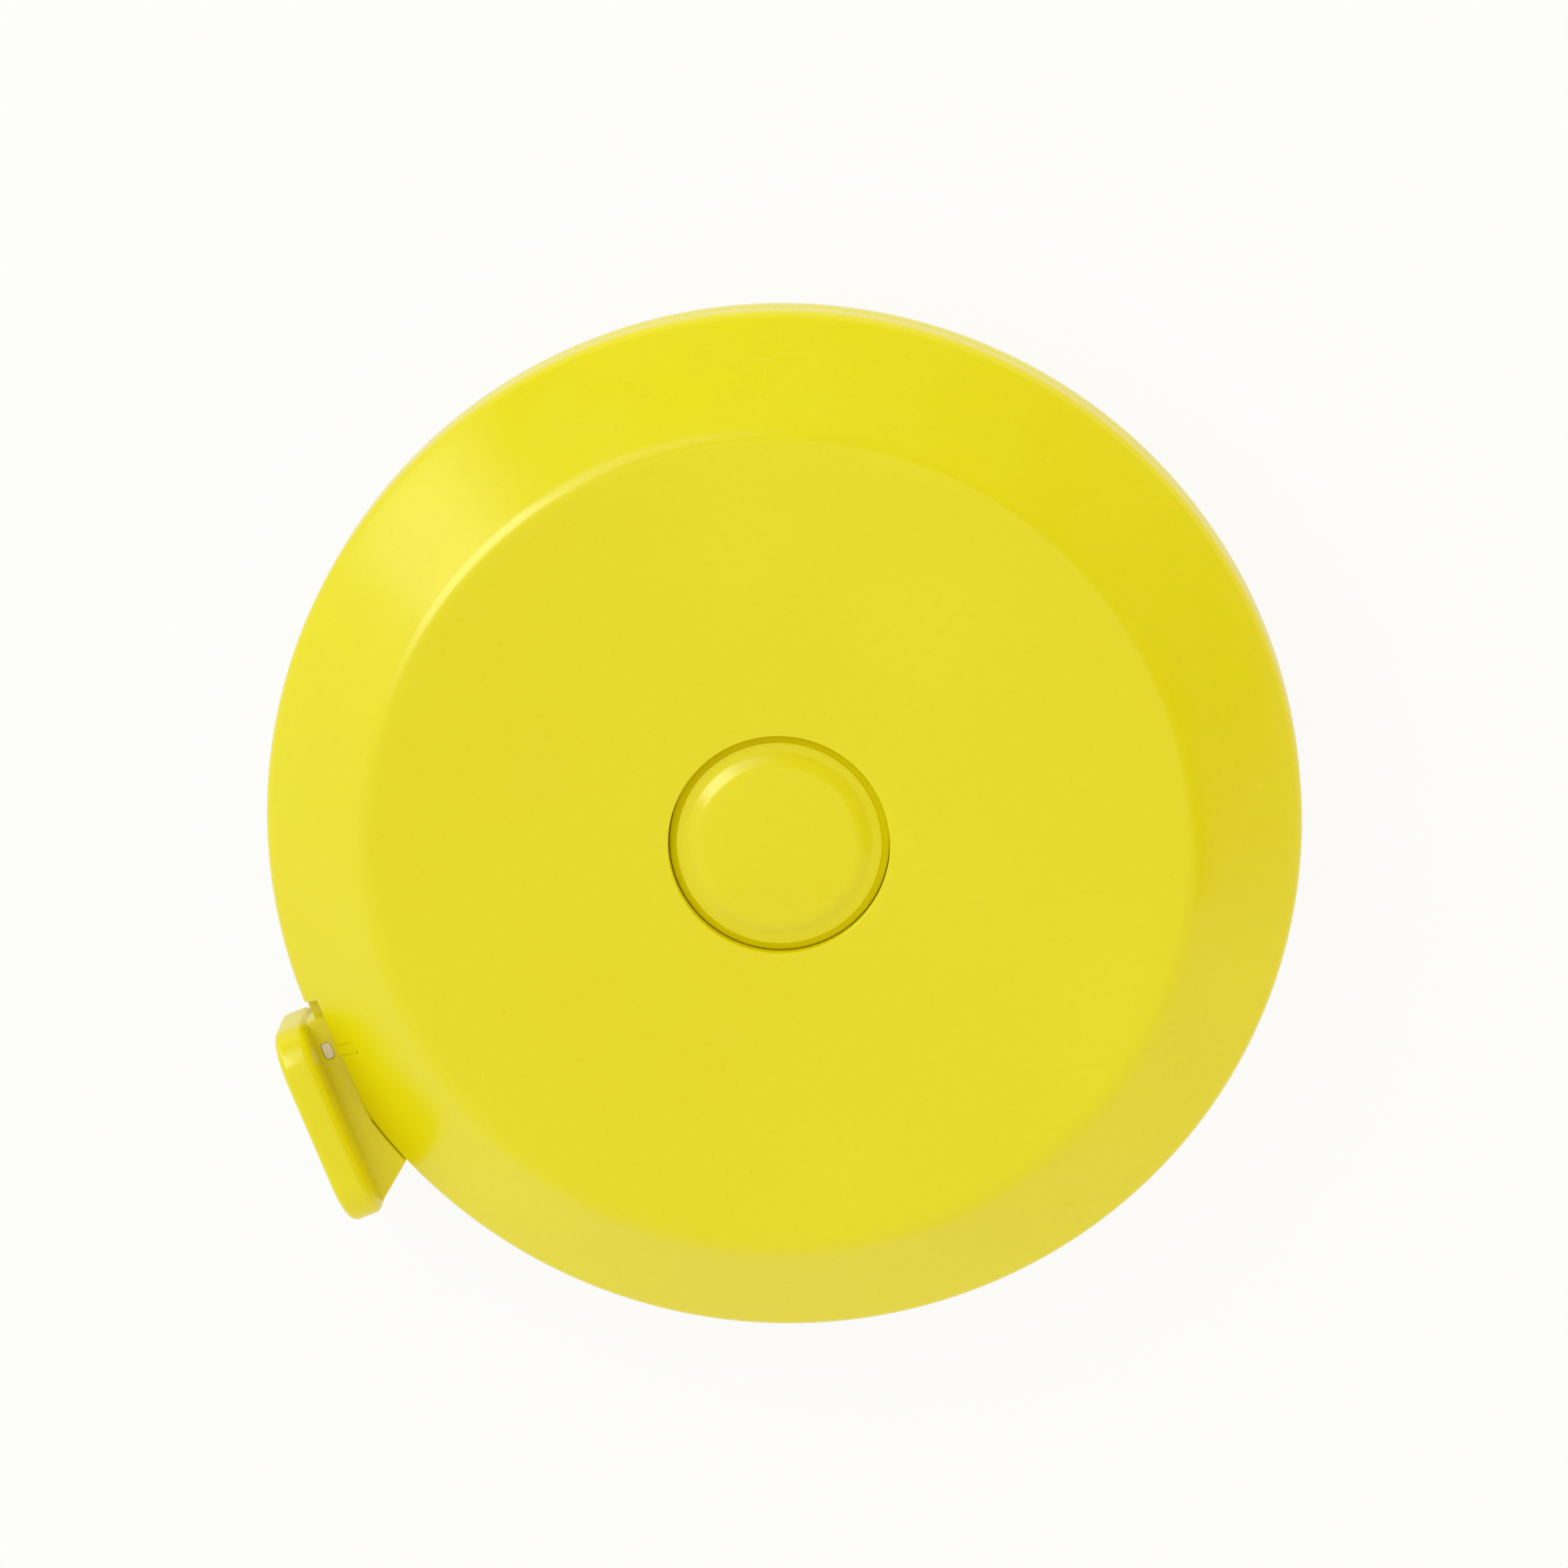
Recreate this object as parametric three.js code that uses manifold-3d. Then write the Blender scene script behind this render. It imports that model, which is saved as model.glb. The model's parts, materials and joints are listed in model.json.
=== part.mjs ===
// Retractable sewing tape: a round casing with a sprung spool inside it, a push
// button that frees the spool, and a finger tab on the end of the tape.
// Millimetres. It lies on its back: +Z is the button's axis, and the origin is the
// centre of the flat back face. Heights named "...Z" are measured from that face.

import * as THREE from 'three';
import { mergeVertices } from 'three/addons/utils/BufferGeometryUtils.js';
import Module from 'manifold-3d';

const wasm = await Module();
wasm.setup();

// Casing. Its radius and thickness follow from what it holds.
const wall = 1.2;
const bandHeight = 3;          // straight band round the rim, between the two bevels
const rimRound = 1;
const bevelWidth = 5.1;        // from the raised ring, where the dish ends, out to the rim
const crestRound = 1.4;
const dishDepth = 0.45;
const holeEdgeRound = 0.2;
const seamChamfer = 0.12;
const lapDepth = 0.8;          // the front shell's lip inside the back shell
const lapGap = 0.1;

// Clearances
const runningGap = 0.1;        // turning or sliding on a neighbour
const seatGap = 0.3;           // beside a neighbour
const brakeGap = 0.05;         // under the brake's face
const capGap = 0.4;            // round the button's cap
const overrun = 0.5;           // how far a cutter passes the face that it opens

// Tape
const tapeLength = 1500;
const tapeWidth = 6;
const tapeThickness = 0.35;

// Spindle, on a six-sided boss of the back shell
const spindleWall = 0.9;
const spindleSlot = 0.8;
const slotFloor = 1;           // from the boss's top to the slot's lower end
const bossInset = 0.25;        // from the spindle's bore in to the boss's corners
const bossHeight = 1.1;
const bossGap = 0.12;
const thrustRingHeight = 0.6;
const thrustRingWidth = 2.2;
const washerThickness = 0.5;

// Spool
const spoolRim = 1.5;          // how far the flanges stand past the full coil
const spoolFloor = 0.8;
const hubWall = 1.8;
const coverLedge = 0.35;
const coverThickness = 0.5;
const frontFlangeThickness = 0.7;
const spigotWall = 0.5;
const spigotHeight = 0.7;
const anchorWidth = 2;
const anchorThickness = 0.6;

// Power spring
const springStrip = 0.18;
const springTurns = 8;
const springHook = 0.6;        // length of each bent end past the spiral
const springHookWidth = 0.8;   // the groove in the hub that takes the outer end

// Button and brake
const capRadius = 4.9;
const capProud = 0.25;         // top of the cap above the dish's inner edge
const capDome = 0.35;
const capEdgeRound = 0.7;
const buttonTravel = 1;
const buttonLip = 0.7;         // how far the button's flange reaches under the hole's edge
const buttonFlangeThickness = 0.5;
const stemRadius = 2.4;
const stemGap = 0.2;           // round the stem in the spindle
const shoulderWidth = 1;
const stemEngagement = 1.1;    // how deep the stem stands in the spindle at rest
const keyHeight = 0.9;
const brakePlateThickness = 0.6;
const frictionWidth = 1.49;
const frictionThickness = 0.4;
const clipThickness = 0.5;
const clipOverhang = 1.3;      // how far the clip stands out past the stem
const clipGrooveDepth = 0.5;
const clipOpening = THREE.MathUtils.degToRad(70);
const buttonSpringWire = 0.35;
const buttonSpringTurns = 4;

// Mouth and finger tab. Both lie in a frame turned about Z, with X pointing out of
// the mouth, square to the tab's plate, and Y along the plate towards its tip.
const mouthHeading = THREE.MathUtils.degToRad(202.4);
const mouthOffset = 2.2;       // the tape's line, along Y
const mouthSlotWidth = 1;
const mouthSlotGap = 0.15;
const landDepth = 0.8;         // the flat on the rim that the tab rests against
const landStart = -0.5;        // its step, along Y
const plateStandoff = 0.32;
const plateThickness = 1.65;
const plateStart = 0.2;
const plateLength = 10;
const plateMargin = 0.8;       // how far the plate stands past each edge of the tape
const plateEdgeRound = 0.4;
const plateCornerRound = 2.2;
const webRecess = 1.4;         // from each edge of the plate in to the web
const webInset = 0.2;          // from the plate's start to the web's
const webToe = 0.3;            // from the web's end to the plate's tip
const webSlant = 1.45;         // how much shorter the web is beside the casing
const tongueDepth = 0.65;      // how far the tape stands in the plate
const pinRadius = 0.8;
const pinReach = 3.2;          // from the land in to the guide pin
const pinSeat = 0.45;
const pinBossWall = 0.6;
const pinBossGap = 1;          // from the spool's edge out to the pin's bosses

// Facets
const shellSegments = 72;
const spoolSegments = 48;
const smallSegments = 32;
const pinSegments = 16;
const arcStep = THREE.MathUtils.degToRad(24);
const springSteps = 24;
const wireSteps = 16;
const wireSides = 6;
const bevelSteps = 2;
const domeSteps = 3;
const hexSides = 6;

// Heights that follow from the sizes above
const washerZ = wall + thrustRingHeight;
const drumZ = washerZ + washerThickness + runningGap;
const drumFloorZ = drumZ + spoolFloor;
const tapeLowZ = drumFloorZ + seatGap + runningGap;
const tapeHighZ = tapeLowZ + tapeWidth;
const midZ = (tapeLowZ + tapeHighZ) / 2;
const caseThickness = midZ * 2;
const frontFlangeZ = tapeHighZ + seatGap;
const plateTopZ = frontFlangeZ - brakeGap - frictionThickness;
const plateLowZ = plateTopZ - brakePlateThickness;
const clipLowZ = plateLowZ - clipThickness;
const coverZ = plateLowZ - buttonTravel - seatGap - coverThickness;
const spindleTopZ = clipLowZ - buttonTravel - seatGap;
const bossTopZ = wall + bossHeight;
const stemLowZ = spindleTopZ - stemEngagement;
const dishEdgeZ = caseThickness - dishDepth;
const capTopZ = dishEdgeZ + capProud;
const buttonFlangeZ = frontFlangeZ + frontFlangeThickness;

// Radii round the stem that follow
const spindleBore = stemRadius + stemGap;
const spindleRadius = spindleBore + spindleWall;
const bossRadius = spindleBore - bossInset;
const buttonSpringRadius = spindleBore - seatGap - seatGap - buttonSpringWire / 2;
const shoulderRadius = stemRadius + shoulderWidth;
const clipRadius = stemRadius + clipOverhang;
const clipGrooveRadius = stemRadius - clipGrooveDepth;
const coverHoleRadius = clipRadius + seatGap + seatGap;
const keyWidth = spindleSlot - seatGap;

// Radii from the button out to the rim. The coil's area is that of the tape's edge.
const holeRadius = capRadius + capGap;
const buttonFlangeRadius = holeRadius + buttonLip;
const brakeFaceRadius = buttonFlangeRadius + seatGap + seatGap;
const frictionRadius = brakeFaceRadius + seatGap;
const brakePlateRadius = frictionRadius + frictionWidth;
const spigotInnerRadius = brakePlateRadius + seatGap;
const spigotRadius = spigotInnerRadius + spigotWall;
const ledgeRadius = spigotRadius + runningGap;
const pocketRadius = ledgeRadius - coverLedge;
const hubRadius = pocketRadius + hubWall;
const coilInnerRadius = hubRadius + seatGap;
const coilRadius = Math.sqrt(coilInnerRadius ** 2 + tapeLength * tapeThickness / Math.PI);
const spoolRadius = coilRadius + spoolRim;
const pinBossRadius = pinRadius + runningGap + pinBossWall;
const pinX = spoolRadius + pinBossGap + pinBossRadius;
const landX = pinX + pinReach;
const caseRadius = landX + landDepth;
const crestRadius = caseRadius - bevelWidth;

// Places in the mouth's frame
const plateX = caseRadius + plateStandoff;
const plateEnd = plateStart + plateLength;
const plateHeight = tapeWidth + plateMargin * 2;
const webHeight = plateHeight - webRecess * 2;
const wrapRadius = pinRadius + runningGap + tapeThickness / 2;
const pinY = mouthOffset - wrapRadius;
const tongueX = landX + runningGap + runningGap;

// Materials
const yellow = new THREE.MeshStandardMaterial({ color: 0xe8d91c, roughness: 0.25, metalness: 0 });
const white = new THREE.MeshStandardMaterial({ color: 0xe9e6da, roughness: 0.5, metalness: 0 });
const black = new THREE.MeshStandardMaterial({ color: 0x2a2a2c, roughness: 0.6, metalness: 0 });
const tapeWhite = new THREE.MeshStandardMaterial({ color: 0xf3efe0, roughness: 0.6, metalness: 0 });
const steel = new THREE.MeshStandardMaterial({ color: 0xb9bcc0, roughness: 0.3, metalness: 1 });
const springSteel = new THREE.MeshStandardMaterial({ color: 0x7d8188, roughness: 0.35, metalness: 1 });
const rubber = new THREE.MeshStandardMaterial({ color: 0x1d1d1f, roughness: 0.9, metalness: 0 });

// Solids

// One closed body with merged corners and its faces pointing out.
function closedBody(geometry) {
  const bare = geometry.clone();
  bare.deleteAttribute('normal');
  bare.deleteAttribute('uv');
  const merged = mergeVertices(bare);
  const corner = merged.getAttribute('position');
  const index = merged.getIndex();
  const triangles = [];
  for (let i = 0; i < index.count; i += 3) {
    const [a, b, c] = [index.getX(i), index.getX(i + 1), index.getX(i + 2)];
    if (a !== b && b !== c && c !== a) triangles.push([a, b, c]);
  }
  const points = [...Array(corner.count).keys()].map((i) => new THREE.Vector3().fromBufferAttribute(corner, i));
  const volume = triangles.reduce(
    (sum, [a, b, c]) => sum + points[a].dot(new THREE.Vector3().crossVectors(points[b], points[c])), 0);
  const facing = volume < 0 ? triangles.map(([a, b, c]) => [a, c, b]) : triangles;
  merged.setIndex(facing.flat());
  return merged;
}

function toManifold(geometry) {
  const body = closedBody(geometry);
  return new wasm.Manifold(new wasm.Mesh({
    numProp: 3,
    vertProperties: new Float32Array(body.getAttribute('position').array),
    triVerts: new Uint32Array(body.getIndex().array),
  }));
}

function toGeometry(manifold) {
  const mesh = manifold.getMesh();
  const geometry = new THREE.BufferGeometry();
  geometry.setAttribute('position', new THREE.BufferAttribute(mesh.vertProperties, 3));
  geometry.setIndex(new THREE.BufferAttribute(mesh.triVerts, 1));
  return geometry;
}

function joined(base, ...others) {
  return toGeometry(others.reduce((sum, other) => sum.add(toManifold(other)), toManifold(base)));
}

function cut(base, ...cutters) {
  return toGeometry(cutters.reduce((rest, cutter) => rest.subtract(toManifold(cutter)), toManifold(base)));
}

function common(first, second) {
  return toGeometry(toManifold(first).intersect(toManifold(second)));
}

// The points of a closed outline. Each corner is [x, y] or [x, y, radius of its round].
function outline(corners) {
  const points = [];
  corners.forEach(([x, y, radius = 0], i) => {
    const here = new THREE.Vector2(x, y);
    if (radius === 0) {
      points.push(here);
      return;
    }
    const before = corners.at(i - 1);
    const after = corners[(i + 1) % corners.length];
    const back = new THREE.Vector2(before[0], before[1]).sub(here);
    const on = new THREE.Vector2(after[0], after[1]).sub(here);
    const room = Math.min(back.length(), on.length()) / 2;
    back.normalize();
    on.normalize();
    const half = Math.acos(THREE.MathUtils.clamp(back.dot(on), -1, 1)) / 2;
    const reach = Math.min(radius / Math.tan(half), room);
    const used = reach * Math.tan(half);
    const centre = back.clone().add(on).setLength(used / Math.sin(half)).add(here);
    const first = back.clone().multiplyScalar(reach).add(here).sub(centre);
    const last = on.clone().multiplyScalar(reach).add(here).sub(centre);
    const sweep = Math.atan2(first.cross(last), first.dot(last));
    const steps = Math.max(1, Math.ceil(Math.abs(sweep) / arcStep));
    for (let step = 0; step <= steps; step += 1) {
      points.push(first.clone().rotateAround(new THREE.Vector2(), sweep * step / steps).add(centre));
    }
  });
  return points;
}

// Corners along an arc.
function arcCorners(centre, radius, from, to, steps) {
  return [...Array(steps + 1).keys()].map((step) => {
    const angle = THREE.MathUtils.lerp(from, to, step / steps);
    return [centre.x + radius * Math.cos(angle), centre.y + radius * Math.sin(angle)];
  });
}

// A solid turned about Z from its half section, [radius, height] corners.
function turned(corners, segments) {
  const section = outline(corners);
  section.push(section[0].clone());
  return closedBody(new THREE.LatheGeometry(section, segments).rotateX(Math.PI / 2));
}

function ring(inner, outer, lowZ, highZ, segments) {
  return turned([[inner, lowZ], [outer, lowZ], [outer, highZ], [inner, highZ]], segments);
}

function disc(radius, lowZ, highZ, segments) {
  return ring(0, radius, lowZ, highZ, segments);
}

// An outline in X and Y, raised from one height to another.
function raised(points, lowZ, highZ) {
  const flat = new THREE.ExtrudeGeometry(new THREE.Shape(points), { depth: highZ - lowZ, bevelEnabled: false });
  return closedBody(flat.translate(0, 0, lowZ));
}

function block(lowX, highX, lowY, highY, lowZ, highZ) {
  return raised(outline([[lowX, lowY], [highX, lowY], [highX, highY], [lowX, highY]]), lowZ, highZ);
}

// The outline of a thin strip that follows a line of points.
function stripOutline(points, thickness) {
  const left = [];
  const right = [];
  points.forEach((point, i) => {
    const before = points[Math.max(i - 1, 0)];
    const after = points[Math.min(i + 1, points.length - 1)];
    const into = point.clone().sub(before).normalize();
    const out = after.clone().sub(point).normalize();
    const along = into.clone().add(out).normalize();
    const stretch = 1 / Math.max(along.dot(i === 0 ? out : into), Math.SQRT1_2);
    const side = new THREE.Vector2(-along.y, along.x).multiplyScalar(stretch * thickness / 2);
    left.push(point.clone().add(side));
    right.push(point.clone().sub(side));
  });
  return [...left, ...right.reverse()];
}

// Casing

// Corners of the casing's outer face from the hole out to the seam. Heights here are
// measured from the seam; side is 1 for the front shell and -1 for the back shell.
function outerCorners(side, innerRadius, innerZ) {
  return [
    [innerRadius, side * innerZ],
    [crestRadius, side * midZ, crestRound],
    [caseRadius, side * bandHeight / 2, rimRound],
    [caseRadius, 0],
  ];
}

// The same corners, one wall further in, from the seam back to the middle.
function innerCorners(side, innerRadius, innerZ) {
  const slope = new THREE.Vector2(crestRadius - innerRadius, midZ - innerZ).angle();
  const bevel = new THREE.Vector2(caseRadius - crestRadius, bandHeight / 2 - midZ).angle();
  const tilt = slope - (bevel - Math.PI * 2);
  const middle = slope - tilt / 2 - Math.PI / 2;
  const crestReach = wall / Math.cos(tilt / 2);
  const rimTilt = Math.PI / 2 + (bevel - Math.PI * 2);
  return [
    [caseRadius - wall, side * (bandHeight / 2 - wall * Math.tan(rimTilt / 2))],
    [crestRadius + crestReach * Math.cos(middle), side * (midZ + crestReach * Math.sin(middle))],
    [innerRadius, side * (innerZ - wall / Math.cos(slope))],
  ];
}

const lapRadius = caseRadius - wall / 2;

function frontShellBody() {
  const [rim, bevel, hole] = innerCorners(1, holeRadius, midZ - dishDepth);
  const [edge, crest, band] = outerCorners(1, holeRadius, midZ - dishDepth);
  return turned([
    [...edge, holeEdgeRound],
    crest,
    band,
    [caseRadius, seamChamfer],
    [caseRadius - seamChamfer, 0],
    [lapRadius - lapGap / 2, 0],
    [lapRadius - lapGap / 2, -lapDepth],
    [caseRadius - wall, -lapDepth],
    rim,
    bevel,
    hole,
  ], shellSegments).translate(0, 0, midZ);
}

function backShellBody() {
  const [rim, bevel, centre] = innerCorners(-1, 0, midZ);
  const [middle, crest, band] = outerCorners(-1, 0, midZ);
  return turned([
    middle,
    crest,
    band,
    [caseRadius, -seamChamfer],
    [caseRadius - seamChamfer, 0],
    [lapRadius + lapGap / 2, 0],
    [lapRadius + lapGap / 2, -lapDepth - lapGap],
    [caseRadius - wall, -lapDepth - lapGap],
    rim,
    bevel,
    centre,
  ], shellSegments).translate(0, 0, midZ);
}

// The whole space inside the casing's outer face, on one side of the seam.
function envelope(side) {
  const corners = outerCorners(side, 0, midZ);
  return turned([...corners, [0, 0]], shellSegments).translate(0, 0, midZ);
}

function atMouth(geometry) {
  return geometry.rotateZ(mouthHeading);
}

// The flat on the rim and the slot for the tape.
function mouthCutters() {
  const outX = caseRadius + overrun;
  const slotHalf = tapeWidth / 2 + mouthSlotGap;
  const land = block(landX, outX, landStart, caseRadius, -overrun, caseThickness + overrun);
  const slot = block(pinX, outX, mouthOffset - mouthSlotWidth / 2, mouthOffset + mouthSlotWidth / 2,
    midZ - slotHalf, midZ + slotHalf);
  return [atMouth(land), atMouth(slot)];
}

const pinBossZ = tapeWidth / 2 + seatGap;

// A boss that stands in from the bevel and holds one end of the guide pin.
function pinBoss(side) {
  const [low, high] = [side * pinBossZ, side * midZ].sort((a, b) => a - b);
  const post = disc(pinBossRadius, low, high, pinSegments).translate(pinX, pinY, midZ);
  return common(atMouth(post), envelope(side));
}

function pinSocket(side) {
  const [low, high] = [0, side * (pinBossZ + pinSeat + runningGap)].sort((a, b) => a - b);
  return atMouth(disc(pinRadius + runningGap, low, high, pinSegments).translate(pinX, pinY, midZ));
}

function frontShell() {
  return cut(joined(frontShellBody(), pinBoss(1)), pinSocket(1), ...mouthCutters());
}

function backShell() {
  const ringInner = spindleRadius + seatGap;
  const thrustRing = ring(ringInner, ringInner + thrustRingWidth, wall - wall / 2, washerZ, smallSegments);
  const boss = disc(bossRadius, wall - wall / 2, bossTopZ, hexSides);
  return cut(joined(backShellBody(), thrustRing, boss, pinBoss(-1)), pinSocket(-1), ...mouthCutters());
}

// Spindle and washer

function spindle() {
  const tube = turned([
    [spindleBore, bossTopZ],
    [spindleRadius, bossTopZ],
    [spindleRadius, spindleTopZ],
    [spindleBore, spindleTopZ],
  ], smallSegments);
  const foot = cut(
    disc(spindleRadius, wall, bossTopZ, smallSegments),
    disc(bossRadius + bossGap, wall - overrun, bossTopZ + overrun, hexSides));
  const reach = spindleRadius + overrun;
  const slot = block(-reach, reach, -spindleSlot / 2, spindleSlot / 2, bossTopZ + slotFloor, spindleTopZ + overrun);
  return cut(joined(tube, foot), slot);
}

function thrustWasher() {
  const inner = spindleRadius + seatGap;
  return ring(inner, inner + thrustRingWidth, washerZ, washerZ + washerThickness, smallSegments);
}

// Spool

function spoolDrum() {
  const boreRadius = spindleRadius + runningGap;
  const body = turned([
    [boreRadius, drumZ],
    [spoolRadius, drumZ],
    [spoolRadius, drumFloorZ],
    [hubRadius, drumFloorZ],
    [hubRadius, frontFlangeZ],
    [ledgeRadius, frontFlangeZ],
    [ledgeRadius, coverZ],
    [pocketRadius, coverZ],
    [pocketRadius, drumFloorZ],
    [boreRadius, drumFloorZ],
  ], spoolSegments);
  const hookX = pocketRadius + springHook;
  const hookGroove = block(pocketRadius - overrun, hookX, -springHookWidth / 2, springHookWidth / 2,
    drumFloorZ + runningGap, coverZ - runningGap);
  const grooveX = hubRadius - anchorThickness - runningGap - runningGap;
  const grooveHalf = anchorWidth / 2 + runningGap;
  const anchorGroove = block(-hubRadius - overrun, -grooveX, -grooveHalf, grooveHalf,
    tapeLowZ - runningGap, tapeHighZ + runningGap);
  return cut(body, hookGroove, anchorGroove);
}

function tapeAnchor() {
  const outerX = hubRadius - runningGap;
  return block(-outerX, anchorThickness - outerX, -anchorWidth / 2, anchorWidth / 2, tapeLowZ, tapeHighZ);
}

function spoolFlange() {
  return turned([
    [brakeFaceRadius, frontFlangeZ],
    [spigotInnerRadius, frontFlangeZ],
    [spigotInnerRadius, frontFlangeZ - spigotHeight],
    [spigotRadius, frontFlangeZ - spigotHeight],
    [spigotRadius, frontFlangeZ],
    [spoolRadius, frontFlangeZ],
    [spoolRadius, buttonFlangeZ],
    [brakeFaceRadius, buttonFlangeZ],
  ], spoolSegments);
}

function springCover() {
  return ring(coverHoleRadius, spigotRadius, coverZ, coverZ + coverThickness, spoolSegments);
}

function tapeCoil() {
  return ring(coilInnerRadius, coilRadius, tapeLowZ, tapeHighZ, spoolSegments);
}

// A spiral from the spindle's slot out to the groove in the hub.
function powerSpring() {
  const first = spindleRadius + seatGap + springStrip;
  const last = pocketRadius - seatGap - springStrip;
  const points = [new THREE.Vector2(first - springHook - springStrip, 0)];
  const steps = springTurns * springSteps;
  for (let step = 0; step <= steps; step += 1) {
    const radius = THREE.MathUtils.lerp(first, last, step / steps);
    const angle = Math.PI * 2 * step / springSteps;
    points.push(new THREE.Vector2(radius, 0).rotateAround(new THREE.Vector2(), angle));
  }
  points.push(new THREE.Vector2(last + springHook, 0));
  return raised(stripOutline(points, springStrip), drumFloorZ + seatGap, coverZ - seatGap);
}

// Button and brake

// The cap's side and top: the round of its edge runs into a shallow dome.
function capTop() {
  const domeRadius = (capRadius ** 2 + capDome ** 2) / (capDome + capDome);
  const domeCentre = new THREE.Vector2(0, capTopZ - domeRadius);
  const edgeX = capRadius - capEdgeRound;
  const rise = Math.sqrt((domeRadius - capEdgeRound) ** 2 - edgeX ** 2);
  const edgeCentre = new THREE.Vector2(edgeX, domeCentre.y + rise);
  const touch = Math.atan2(rise, edgeX);
  return [
    ...arcCorners(edgeCentre, capEdgeRound, 0, touch, Math.ceil(touch / arcStep)),
    ...arcCorners(domeCentre, domeRadius, touch, Math.PI / 2, domeSteps).slice(1, -1),
    [0, capTopZ],
  ];
}

function pushButton() {
  const body = turned([
    [0, stemLowZ],
    [stemRadius, stemLowZ],
    [stemRadius, clipLowZ],
    [clipGrooveRadius, clipLowZ],
    [clipGrooveRadius, plateLowZ],
    [stemRadius, plateLowZ],
    [stemRadius, plateTopZ],
    [shoulderRadius, plateTopZ],
    [shoulderRadius, buttonFlangeZ],
    [buttonFlangeRadius, buttonFlangeZ],
    [buttonFlangeRadius, buttonFlangeZ + buttonFlangeThickness],
    [capRadius, buttonFlangeZ + buttonFlangeThickness],
    ...capTop(),
  ], spoolSegments);
  const keyX = spindleRadius - runningGap - runningGap;
  const key = block(-keyX, 0, -keyWidth / 2, keyWidth / 2, stemLowZ, stemLowZ + keyHeight);
  return joined(body, key);
}

function brakePlate() {
  return ring(stemRadius + runningGap, brakePlateRadius, plateLowZ, plateTopZ, smallSegments);
}

function frictionRing() {
  return ring(frictionRadius, brakePlateRadius, plateTopZ, plateTopZ + frictionThickness, smallSegments);
}

// An open ring that snaps into the groove of the stem.
function stemClip() {
  const inner = clipGrooveRadius + runningGap;
  const middle = (inner + clipRadius) / 2;
  const points = [];
  for (let step = 0; step <= springSteps; step += 1) {
    const angle = clipOpening / 2 + (Math.PI * 2 - clipOpening) * step / springSteps;
    points.push(new THREE.Vector2(middle, 0).rotateAround(new THREE.Vector2(), angle));
  }
  return raised(stripOutline(points, clipRadius - inner), clipLowZ, plateLowZ);
}

class Helix extends THREE.Curve {
  constructor(radius, turns, lowZ, highZ) {
    super();
    Object.assign(this, { radius, turns, lowZ, highZ });
  }

  getPoint(t, target = new THREE.Vector3()) {
    const angle = Math.PI * 2 * this.turns * t;
    const z = THREE.MathUtils.lerp(this.lowZ, this.highZ, t);
    return target.set(this.radius * Math.cos(angle), this.radius * Math.sin(angle), z);
  }
}

function buttonSpring() {
  const wireRadius = buttonSpringWire / 2;
  const lowZ = bossTopZ + runningGap + wireRadius;
  const highZ = stemLowZ - runningGap - wireRadius;
  const path = new Helix(buttonSpringRadius, buttonSpringTurns, lowZ, highZ);
  const side = new THREE.Vector2(wireRadius, 0);
  const section = [...Array(wireSides).keys()].map(
    (i) => side.clone().rotateAround(new THREE.Vector2(), Math.PI * 2 * i / wireSides));
  const steps = buttonSpringTurns * wireSteps;
  return closedBody(new THREE.ExtrudeGeometry(new THREE.Shape(section), { steps, extrudePath: path }));
}

// Mouth, tape end and finger tab

function guidePin() {
  const half = pinBossZ + pinSeat;
  return disc(pinRadius, midZ - half, midZ + half, pinSegments).translate(pinX, pinY, 0);
}

// The free tape: straight off the coil, round the guide pin, and out to the land.
function tapeLead() {
  const coilLine = coilRadius + seatGap + tapeThickness / 2;
  const pin = new THREE.Vector2(pinX, pinY);
  const bend = pin.angle() + Math.asin((coilLine + wrapRadius) / pin.length());
  const points = [new THREE.Vector2(coilLine, 0).rotateAround(new THREE.Vector2(), bend - Math.PI / 2)];
  const steps = Math.ceil(bend / arcStep) * 2;
  for (let step = 0; step <= steps; step += 1) {
    const heading = bend * (1 - step / steps) + Math.PI / 2;
    points.push(new THREE.Vector2(wrapRadius, 0).rotateAround(new THREE.Vector2(), heading).add(pin));
  }
  points.push(new THREE.Vector2(landX, mouthOffset));
  return raised(stripOutline(points, tapeThickness), tapeLowZ, tapeHighZ);
}

function tapeTongue() {
  const half = tapeThickness / 2;
  return block(tongueX, plateX + tongueDepth, mouthOffset - half, mouthOffset + half, tapeLowZ, tapeHighZ);
}

// The plate's face is drawn in its own X and Y, which are then turned to Y and Z.
function tabPlate() {
  const half = plateHeight / 2;
  const profile = outline([
    [plateStart, -half, plateCornerRound],
    [plateEnd, -half, plateCornerRound],
    [plateEnd, half, plateCornerRound],
    [plateStart, half, plateCornerRound],
  ]);
  const plate = new THREE.ExtrudeGeometry(new THREE.Shape(profile), {
    depth: plateThickness - plateEdgeRound * 2,
    bevelThickness: plateEdgeRound,
    bevelSize: plateEdgeRound,
    bevelOffset: -plateEdgeRound,
    bevelSegments: bevelSteps,
  });
  plate.rotateX(Math.PI / 2).rotateZ(Math.PI / 2);
  return plate.translate(plateX + plateEdgeRound, 0, midZ);
}

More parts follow.
